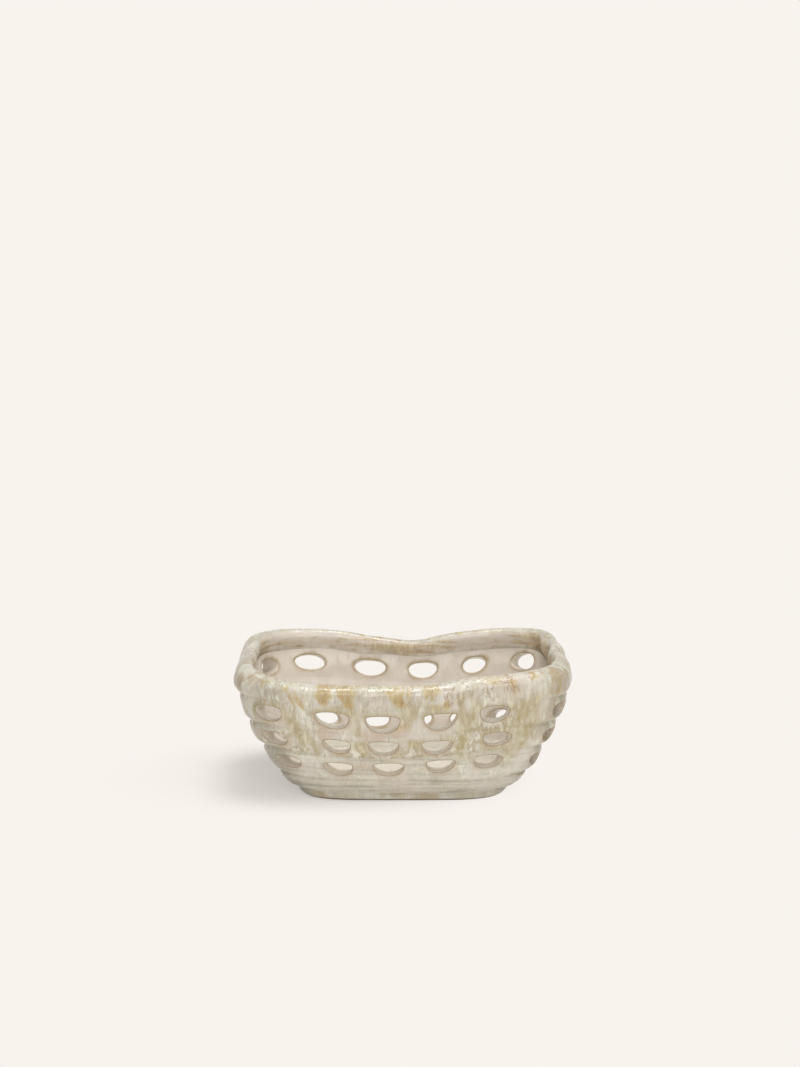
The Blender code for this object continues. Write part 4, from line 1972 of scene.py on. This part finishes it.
    def lay_seams(self, coat: Coat) -> None:
        """Lays the darker glaze that pools in the seams, with painted shade in the seams round the ends.

        Args:
            coat: The glaze as laid so far.
        """
        groove = coat.mottle(coat.mark(Mark.GROOVE), zone=0.6, blot=0.5)
        # On the slab this colour is its bottom edge band: bare clay with painted contact shadow.
        coat.lay(self.pool_and_edge_shade, coat.bench.window(groove, 0.45, 1.2), self.pooling_and_edge_shade)
        # Painted shade: the seams round the ends are darkened with the brown lip colour, where the coils'
        # bulges shade them.
        coat.lay(self.lip, coat.bench.window(groove, 0.3, 1.1), 0.5, coat.end)

    def lay_holes(self, coat: Coat) -> None:
        """Lays blush and tan under the holes, olive over them, their cut walls lightened as painted light
        and darkened at the ends as painted shade, dark outlines of brown glaze with painted shadow along
        their upper sides, and rings of painted shade round the holes on the inner wall.

        Args:
            coat: The glaze as laid so far.
        """
        edge, under = coat.mark(Mark.EDGE), coat.mark(Mark.UNDER)
        around = coat.mottle(edge, blot=2.0, drift=2.0)
        coat.lay(self.blush, coat.near(around, 7.0), 0.3, under)
        coat.lay(self.tan, coat.near(around, 3.5), 0.4, under)
        coat.lay(self.olive, coat.near(around, 4.5), self.browed, coat.rest(under))
        # Painted light and shade: the cut walls get the light cut colour, and round the ends the darker
        # inside colour as painted shade.
        cut = coat.bench.window(coat.mark(Mark.CUT), 0.45, 0.8)
        coat.lay(coat.bench.blend(coat.end, self.cut, self.inside), cut)
        # Dark outline round each hole: brown glaze at the edge, and painted shadow along its upper side.
        line = coat.times(coat.near(edge, 1.0), coat.rest(cut))
        coat.lay(self.outline, line, 0.65, coat.outside)
        # Painted shade: a dark ring round each hole on the inner wall, standing for the shaded cut wall
        # seen aslant.
        ring = coat.bench.window(coat.mottle(edge, blot=1.5, drift=1.0), 0.3, 3.4, (1.0, 0.0))
        ring = coat.times(ring, coat.rest(cut))
        coat.lay(self.ring, ring, 0.42, coat.bench.window(coat.inside, 0.5, 1.0))

    def lay_ends(self, coat: Coat) -> None:
        """Lays painted shade on the ends, with tan and white mottles.

        Args:
            coat: The glaze as laid so far.
        """
        # Painted shade: the corners and ends are darkened with the grey shade colour, where less light
        # falls.
        dark = coat.part(coat.end, 0.2, 1.1, zone=0.5, blot=0.5, hair=0.12)
        coat.lay(self.shade, dark, self.shaded, coat.outside)
        tan = coat.part(coat.end, 0.8, 1.4, drift=1.1, blot=0.9, streak=0.6)
        coat.lay(self.tan, tan, 0.45, coat.outside)
        white = coat.part(coat.end, 0.9, 1.4, drift=-0.9, blot=-1.0, streak=0.4, hair=0.15)
        coat.lay(self.white, white, 0.42, coat.outside)

    def set_gloss(self, coat: Coat) -> None:
        """Sets glassy and dull patches, the shine of clear glaze, and the unevenness with its combing.

        Args:
            coat: The glaze as laid so far.
        """
        bench = coat.bench
        glassy = coat.mottle(0.5, blot=0.9, drift=0.7)
        patchy = bench.window(glassy, 0.47, 0.57, (self.matt, self.glossy))
        dull = bench.window(coat.inside, 0.2, 0.9, (0.0, self.dull_inside))
        bench.give("Roughness", bench.sums("ADD", patchy, dull))
        bench.give("IOR", self.refraction)
        combing = coat.times(coat.mottle(0.0, hair=self.combed, streak=3.0 * self.combed), coat.broad)
        lumps = coat.mottle(0.5, drift=0.6, blot=0.6)
        bench.relief(bench.sums("ADD", combing, lumps), self.depth, self.ridged)


@dataclass(frozen=True)
class BareClay:
    """Unglazed stoneware of the foot, matt and slightly sandy."""

    name: str = "bare_stoneware"
    clay: Colour = srgb(112, 90, 66)
    iron: Colour = srgb(84, 64, 46)
    sand: Colour = srgb(138, 116, 88)

    def make(self) -> Material:
        """Builds the material.

        Returns:
            The finished material.
        """
        bench = GlazeBench(self.name)
        patch = bench.cloud(60.0, 4.0)
        sand = bench.cloud(900.0, 3.0)
        colour = bench.blend(bench.window(patch, 0.35, 0.7), self.clay, self.iron)
        colour = bench.blend(bench.sums("MULTIPLY", bench.window(sand, 0.5, 0.7), 0.5), colour, self.sand)
        colour = bench.blend(bench.specks(420.0, 0.12, 0.2), colour, self.iron)
        bench.give("Base Color", colour)
        bench.give("Roughness", bench.window(sand, 0.3, 0.7, (0.7, 0.9)))
        bench.relief(sand, 0.0003, 0.5)
        return bench.material


@dataclass(frozen=True)
class Softbox:
    """A soft lamp that faces the basket: where it hangs, its width and height, and its power in watts."""

    name: str
    place: Triple
    size: Half
    watts: float

    def hang(self, target: Vector) -> None:
        """Adds the lamp.

        Args:
            target: Point that it faces.
        """
        data = bpy.data.lights.new(self.name, "AREA")
        data.shape = "RECTANGLE"
        data.size, data.size_y = self.size
        data.energy = self.watts
        lamp = bpy.data.objects.new(self.name, data)
        lamp.location = self.place
        lamp.rotation_euler = (target - Vector(self.place)).to_track_quat("-Z", "Y").to_euler()
        bpy.context.scene.collection.objects.link(lamp)


@dataclass
class Studio:
    """Pale floor, soft lamps and the camera at the photograph's angle."""

    paper: Colour = srgb(248, 243, 237)
    eye: Triple = (-0.0024, -1.45, 0.455)
    focal_pixels: float = 1650.0
    image_size: tuple[int, int] = (800, 1067)
    sensor: float = 36.0
    look_height: float = 0.06
    look_pixel: float = 715.0
    lamps: tuple[Softbox, ...] = (
        Softbox("key_softbox", (0.48, -0.42, 1.85), (1.6, 1.6), 6.5),
        Softbox("top_softbox", (0.10, -0.12, 1.85), (0.8, 0.66), 15.0),
        Softbox("front_softbox", (0.30, -1.80, 0.75), (1.4, 1.4), 15.0),
    )
    sky_strength: float = 0.30
    floor_size: float = 12.0
    near_floor: float = 0.08
    far_floor: float = 0.21
    least_fade: float = 0.45
    fade_middle: Triple = (-0.08, 0.008, 0.0)
    fade_squeeze: Triple = (1.0, 1.5, 1.0)

    def camera(self) -> None:
        """Sets the camera, whose pitch puts a point in the basket's middle on its row of the image."""
        data = bpy.data.cameras.new("photo_camera")
        data.sensor_width = self.sensor
        data.lens = self.focal_pixels / self.image_size[1] * self.sensor
        camera = bpy.data.objects.new("photo_camera", data)
        camera.location = self.eye
        down = math.atan2(self.eye[2] - self.look_height, -self.eye[1])
        down -= math.atan2(self.look_pixel - self.image_size[1] / 2, self.focal_pixels)
        camera.rotation_euler = (math.pi / 2 - down, 0.0, 0.0)
        bpy.context.scene.collection.objects.link(camera)
        bpy.context.scene.camera = camera

    def seen(self, bench: NodeBench) -> Socket:
        """Picks the rays that show the background: from the camera, in gloss and through clear glass.

        Args:
            bench: The tree that asks.

        Returns:
            1 for those rays, 0 for others.
        """
        path = bench.add("LightPath", {}).outputs
        either = bench.sums("MAXIMUM", path["Is Camera Ray"], path["Is Glossy Ray"])
        return bench.sums("MAXIMUM", either, path["Is Transmission Ray"])

    def world(self) -> None:
        """Soft white light from all round; the background itself shows as pale paper."""
        world = bpy.data.worlds.new("studio")
        bpy.context.scene.world = world
        world.use_nodes = True
        bench = NodeBench(world.node_tree)
        light = bench.tree.nodes["Background"]
        light.inputs["Color"].default_value = (1.0, 1.0, 1.0, 1.0)
        light.inputs["Strength"].default_value = self.sky_strength
        shown = bench.add("Background", {"Color": self.paper})
        bench.show("World Output", self.seen(bench), light, shown)

    def floor_paper(self) -> Material:
        """Builds the floor's material, which takes the shadow near the basket and glows further off.

        Returns:
            The finished material.
        """
        bench = GlazeBench("pale_paper")
        for name, value in (("Base Color", self.paper), ("Roughness", 1.0), ("Specular IOR Level", 0.0)):
            bench.give(name, value)
        glow = bench.add("Emission", {"Color": self.paper})
        middle = Vector(self.fade_middle) * Vector(self.fade_squeeze)
        squeezed = bench.stretched(self.fade_squeeze)
        distance = bench.add("VectorMath", {0: squeezed, 1: middle}, operation="DISTANCE")
        far = distance.outputs["Value"]
        fade = bench.window(far, self.near_floor, self.far_floor, (self.least_fade, 1.0))
        share = bench.sums("MULTIPLY", fade, self.seen(bench))
        bench.show("Material Output", share, bench.shader, glow)
        return bench.material

    def floor(self) -> None:
        """Lays the pale floor."""
        bm = bmesh.new()
        bmesh.ops.create_grid(bm, x_segments=8, y_segments=8, size=self.floor_size)
        mesh = bpy.data.meshes.new("floor")
        bm.to_mesh(mesh)
        bm.free()
        floor = bpy.data.objects.new("floor", mesh)
        bpy.context.scene.collection.objects.link(floor)
        mesh.materials.append(self.floor_paper())

    def build(self) -> None:
        """Builds the whole studio."""
        self.camera()
        self.world()
        self.floor()
        for lamp in self.lamps:
            lamp.hang(Vector((0.0, 0.0, self.look_height)))
        bpy.context.scene.view_settings.view_transform = "Standard"


@dataclass
class BreadBasket:
    """The whole basket: its pieces from the foot up, each with its finish."""

    shop: Workshop
    floor_inside: Colour = srgb(234, 228, 215)
    wall_inside: Colour = srgb(213, 206, 191)

    def base(self) -> None:
        """Builds the foot, the floor, the coil in its corner and the wall's plain course."""
        FootRing(self.shop).build(BareClay().make())
        glaze = AshGlaze(
            "slab_glaze",
            cream=srgb(177, 164, 138),
            inside=self.floor_inside,
            # The slab's pool colour is its bottom edge: bare clay, darkened further as painted contact
            # shadow.
            pool_and_edge_shade=srgb(86, 68, 48),
            streaks=0.2,
            olive_share=0.2,
            pooling_and_edge_shade=1.0,
            banded=0.6,
        )
        BaseSlab(self.shop).build(glaze.make())
        InnerSeamCoil(self.shop).build(AshGlaze("inner_glaze", inside=self.wall_inside).make())
        glaze = AshGlaze(
            "plain_course_glaze", inside=self.wall_inside, streaks=0.4, olive_share=0.15, banded=1.0
        )
        PlainCourse(self.shop, "plain_course", glaze.name, Seam.SLAB).build(glaze.make())

    def pierced_wall(self) -> None:
        """Builds the three courses with holes."""
        glaze = AshGlaze(
            "lower_course_glaze", cream=srgb(213, 207, 195), streaks=0.55, olive_share=0.1, banded=0.6
        )
        PiercedCourse(self.shop, "lower_pierced_course", glaze.name, Seam.PLAIN).build(glaze.make())
        glaze = AshGlaze("middle_course_glaze", olive_share=0.75, ridged=0.5, combed=0.1)
        course = PiercedCourse(
            self.shop,
            "middle_pierced_course",
            glaze.name,
            Seam.LOWER,
            row=1,
            hole_height=0.0124,
            back_drop=0.0015,
        )
        course.build(glaze.make())
        glaze = AshGlaze("upper_course_glaze", olive_share=0.75, browed=0.7, ridged=0.5, combed=0.1)
        course = PiercedCourse(
            self.shop, "upper_pierced_course", glaze.name, Seam.MIDDLE, row=2, hole_height=0.0144
        )
        course.build(glaze.make())

    def rim(self) -> None:
        """Builds the rim."""
        glaze = AshGlaze(
            "rim_glaze",
            olive_share=0.35,
            pooling_and_edge_shade=0.6,
            brushed=0.75,
            ridged=0.55,
            combed=0.12,
            shaded=0.45,
            dull_inside=0.03,
        )
        RimCoil(self.shop, "rim_coil", glaze.name, Seam.UPPER).build(glaze.make())

    def build(self) -> None:
        """Builds all pieces."""
        self.base()
        self.pierced_wall()
        self.rim()


def main() -> None:
    """Builds the basket over the frame, then the studio."""
    logging.basicConfig(level=logging.INFO, format="%(name)s: %(message)s")
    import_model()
    BreadBasket(Workshop(BasketForm.from_frame(), Kneading(), GlazeChart())).build()
    Studio().build()


if __name__ == "__main__":
    main()
